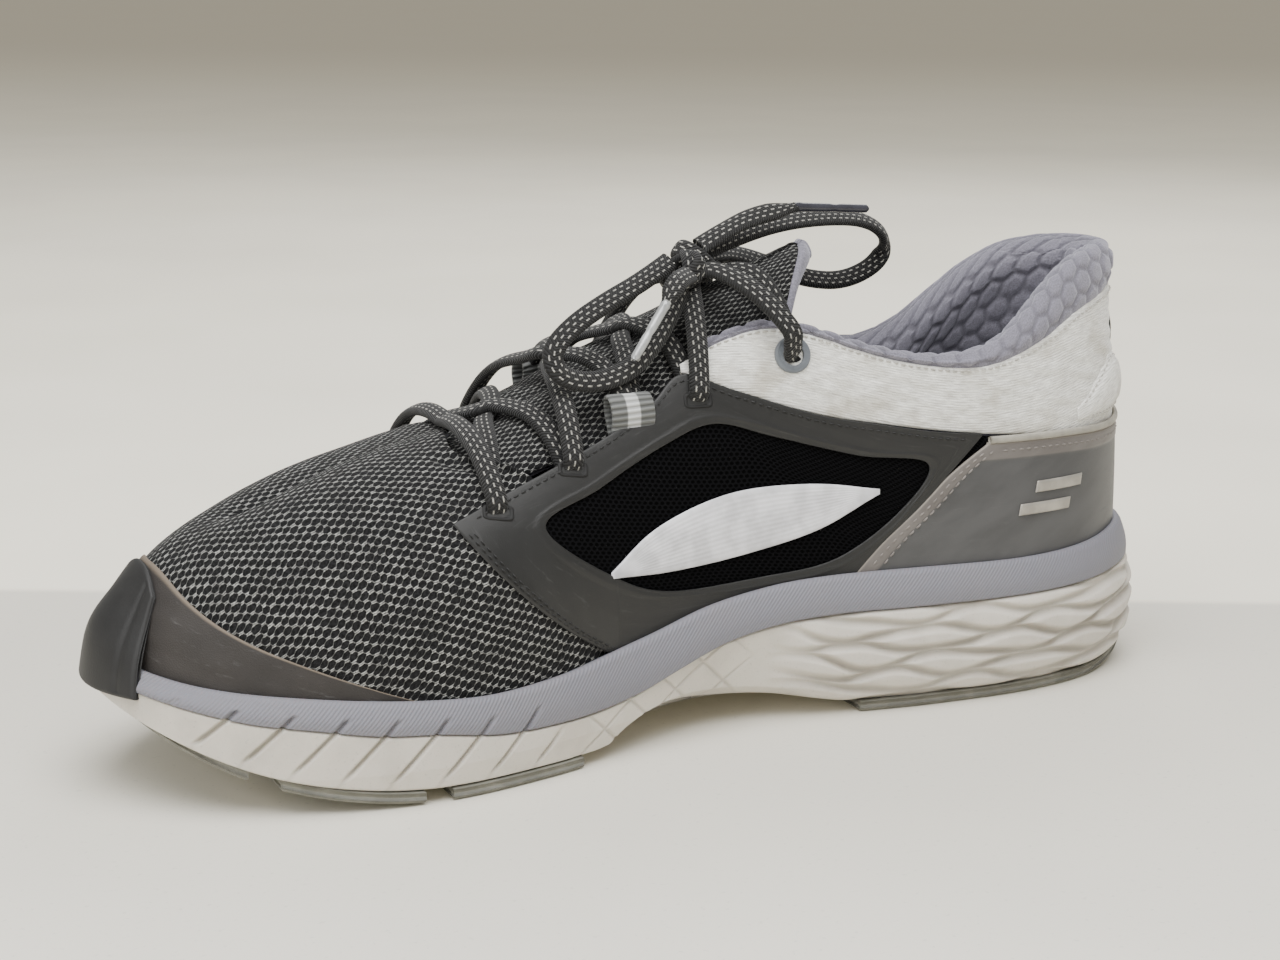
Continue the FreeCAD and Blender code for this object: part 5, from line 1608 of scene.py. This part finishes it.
def slashes(x, z):
    """Depth, from 0 to 1, of the slanting cuts round the forefoot."""
    q = x - SLASH_LEAN * (z - 20)
    d = to_line(q, SLASH_PITCH)
    zone = (1 - ease(x, -52, -44)) * ease(x, -138, -130)
    return (1 - ease(d, 0.3, 0.95)) * zone


def crossings(x, z):
    """Depth, from 0 to 1, of the crossed lines behind the slashes."""
    total = 0
    for lean, pitch in ((1.1, 15.0), (-1.4, 17.0)):
        d = to_line(x + lean * (z - 20), pitch)
        total = np.maximum(total, 1 - ease(d, 0.25, 0.8))
    return total * ease(x, -46, -36) * (1 - ease(x, 8, 20))


def leaves(along, h):
    """Height, from 0 to 1, of the long lens-shaped ridges that lock into each other at the heel."""
    nearest = np.full(np.broadcast(along, h).shape, 9.0)
    for j in range(-1, 10):
        line = (j * LEAF_PITCH + LEAF_SWING * np.sin(2 * math.pi * along / LEAF_WAVE + j * 2.55)
                + 0.5 * np.sin(2 * math.pi * along / 27 + j * 1.3))
        nearest = np.minimum(nearest, np.abs(h - line))
    return ease(nearest, 0.0, 2.0)


def make_midsole():
    x = outline(REACH)[0][:, 0]
    rows, hollow_shade = [], []

    def add(ring, z, hollow_shading=0.0, sideways=None):
        p = np.concatenate([ring, np.broadcast_to(z, ring.shape[:1])[:, None]], -1)
        rows.append(scooped(p, sideways) if sideways is not None else p)
        hollow_shade.append(np.broadcast_to(hollow_shading, ring.shape[:1]))

    top, bottom = smooth(DECK_UNDER, x), ground(x) + OUTSOLE
    for s in (0.12, 0.6, 0.96):
        add(shrink_ring(wall_ring(4.0, 1), s), smooth(DECK_UNDER, own_x(s)) - 0.1)
    for t in np.concatenate([np.linspace(0, 0.04, 4)[:-1], np.linspace(0.04, 0.93, 66),
                             np.linspace(0.93, 1, 6)[1:]]):
        z = top + (bottom - top) * t
        off, waist = np.interp(z, WALL_Z, WALL_OFF), np.interp(z, WALL_Z, WALL_WAIST)
        ends = (0.9 * np.clip((0.04 - t) / 0.04, 0, 1) ** 2
                + 1.3 * np.clip((t - 0.93) / 0.07, 0, 1) ** 2)
        heel = ease(x, 18, 40)
        ridge = leaves(ALONG, z - bottom)
        cut = slashes(x, z)
        web = crossings(x, z)
        bulge = 1.3 * heel * np.sin(math.pi * np.clip(t, 0, 1)) ** 0.8
        off = off - ends + (heel * (2.3 * ridge - 1.1)
                            * np.sin(math.pi * np.clip(t, 0.02, 0.98)) ** 0.4)
        off = off + bulge - 1.5 * cut * (1 - ease(t, 0.55, 0.9)) - 0.45 * web
        # painted shade: the foam darkens between the heel's ridges, in the slashes and crossed
        # lines, and at the wall's rounded top and bottom edges
        add(wall_ring(off, waist), z,
            np.clip(heel * (1 - ridge) + 0.6 * cut + 0.5 * web + 0.5 * ends, 0, 1), True)
    for s in (0.985, 0.95, 0.8, 0.5, 0.12):
        # painted shade: the underside is a little darker
        add(shrink_ring(wall_ring(3.4, 5), s), ground(own_x(s)) + OUTSOLE, 0.2, False)
    sole_piece("midsole_foam", rows, WHITE_FOAM, ["midsole"], {"hollow_shade": hollow_shade})


def make_insole():
    """The loose insole: a foam pad whose cloth top rises a little along its rim."""
    for name, low, high, material, node in (
            ("insole_pad", BED_LIFT, BED_LIFT + 4.0, INSOLE_FOAM, "insole_foam"),
            ("insole_cloth", BED_LIFT + 4.02, BED_LIFT + 4.8, INSOLE_CLOTH, "insole_cover")):
        rows = []
        profile = [(0.12, 0), (0.6, 0), (0.96, 0), (0.99, 0.06), (1, 0.3), (1, 0.7), (0.99, 0.94),
                   (0.96, 1), (0.86, 1), (0.7, 1), (0.5, 1), (0.3, 1), (0.12, 1)]
        for s, t in profile:
            ring = shrink_ring(wall_ring(BED_IN, 0), s)
            bed = smooth(FOOTBED, ring[:, 0])
            dimple = 0.15 * soft_noise(np.concatenate([ring, bed[:, None]], -1), 15, 21)
            lift = 0.5 * ease(s, 0.8, 0.98) * (t > 0.5) if node == "insole_cover" else 0
            z = bed + low + (high - low) * t + lift + dimple * (t > 0.5) * (s < 0.9)
            rows.append(np.concatenate([ring, z[:, None]], -1))
        ob = sole_piece(name, rows, material, [node],
                        {"hollow_shade": [np.zeros(len(REACH))] * len(rows)}, "insole")


def make_deck():
    x = outline(REACH)[0][:, 0]
    rows, hollow_shade = [], []

    def add(off, s, height, hollow_shading=0.0):
        ring = shrink_ring(wall_ring(off, 0), s)
        z = height(own_x(s))
        rows.append(np.concatenate([ring, z[:, None]], -1))
        hollow_shade.append(np.broadcast_to(hollow_shading, x.shape))

    for s in (0.12, 0.5, 0.9, 1):
        add(0.3, s, lambda q: smooth(FOOTBED, q))
    for off, t in ((0.3, 0.9), (0.5, 1.0), (1.6, 1.04), (2.6, 0.99)):
        # painted shade: the rim's top lip is darker where the upper meets it
        add(off, 1, lambda q, t=t: smooth(FOOTBED, q) + RIM_RISE * t,
            0.55 if t > 1 else 0.0)
    top, under = smooth(FOOTBED, x) + RIM_RISE * 0.86, smooth(DECK_UNDER, x)
    for t in np.linspace(0, 1, 44):
        z = top + (under - top) * t
        cut = slashes(x, z) * ease(t, 0.3, 0.6)
        off = 3.3 + 1.9 * math.sin(math.pi / 2 * min(t / 0.8, 1)) - 1.2 * cut
        off = off - 1.1 * max((t - 0.92) / 0.08, 0) ** 2
        ring = wall_ring(off, 0)
        rows.append(np.concatenate([ring, z[:, None]], -1))
        # painted shade: darker in the slashes and along the band's lower edge
        hollow_shade.append(np.clip(cut * 0.9 + 0.3 * (t > 0.93), 0, 1))
    for s in (0.97, 0.6, 0.12):
        add(4.0, s, lambda q: smooth(DECK_UNDER, q) + 0.05)
    sole_piece("midsole_band", rows, LILAC_FOAM, ["midsole_deck"], {"hollow_shade": hollow_shade})


def make_pads():
    at = wall_ring(4.35, 5)
    half = len(REACH) // 2
    medial, lateral = at[: half + 1], at[half:]

    def reach(x, side):
        if side < 0:
            return np.interp(x, medial[::-1, 0], medial[::-1, 1])
        return np.interp(x, lateral[:, 0], lateral[:, 1])

    def pad(name, x0, x1, y_in, side, nodes=()):
        a = edge_lines(max(int((x1 - x0) / 0.55), 20), x1 - x0, PAD_ROUND)[:, None]
        b = edge_lines(64, 36, PAD_ROUND)[None, :]
        x = x0 + (x1 - x0) * a + 0 * b
        if side == 0:
            inner, outer = reach(x, -1), reach(x, 1)
        else:
            inner, outer = y_in + 0 * x, reach(x, side)
        y = inner + (outer - inner) * b
        edge = edge_distance(a, b, (x1 - x0, np.abs(outer - inner)))
        soft = PAD_ROUND * rounding(edge, PAD_ROUND)
        turn = np.abs(y - (inner + outer) / 2)
        chevron = to_line(x + turn * 0.6, TREAD_PITCH)
        tread = 1.1 * (1 - ease(chevron, 0.5, 1.1)) * ease(edge, 1.5, 3.0)
        low = ground(x) + soft + tread
        high = ground(x) + OUTSOLE - soft * 0.4 - 0.02
        bottom = np.stack([x, y, low], -1).reshape(-1, 3)
        top = np.stack([x, y, np.maximum(high, low + 0.2)], -1).reshape(-1, 3)
        bottom, top = scooped(bottom, False), scooped(top, False)
        top[:, 2] = np.maximum(top[:, 2], bottom[:, 2] + 0.05)
        verts = np.concatenate([bottom, top])
        ob = mesh_object(name, verts, orient(verts, slab_faces(*x.shape)), verts[:, :2])
        return finish_piece(ob, RUBBER, "shoe", nodes)

    pad("rubber_toe", -150.5, -124, 0, 0, ["outsole_toe"])
    for side, name in SIDES:
        pad("rubber_ball_front_" + name, -117, -83, 3.0 * side, side, ["outsole_forefoot_" + name])
        pad("rubber_ball_back_" + name, -76, -38, 3.0 * side, side, ["outsole_forefoot_" + name])
        pad("rubber_heel_" + name, 48, 149.5, 5.0 * side, side, ["outsole_heel_" + name])


make_midsole()
make_deck()
make_insole()
make_pads()


# ---------------------------------------------------------------- CAD nodes that stay, and the end

for node, material in (("grommet_medial", GROMMET), ("grommet_lateral", GROMMET),
                       ("strobel_board", BOARD)):
    ob = bpy.data.objects.get(node)
    ob.data.materials.clear()
    ob.data.materials.append(material)
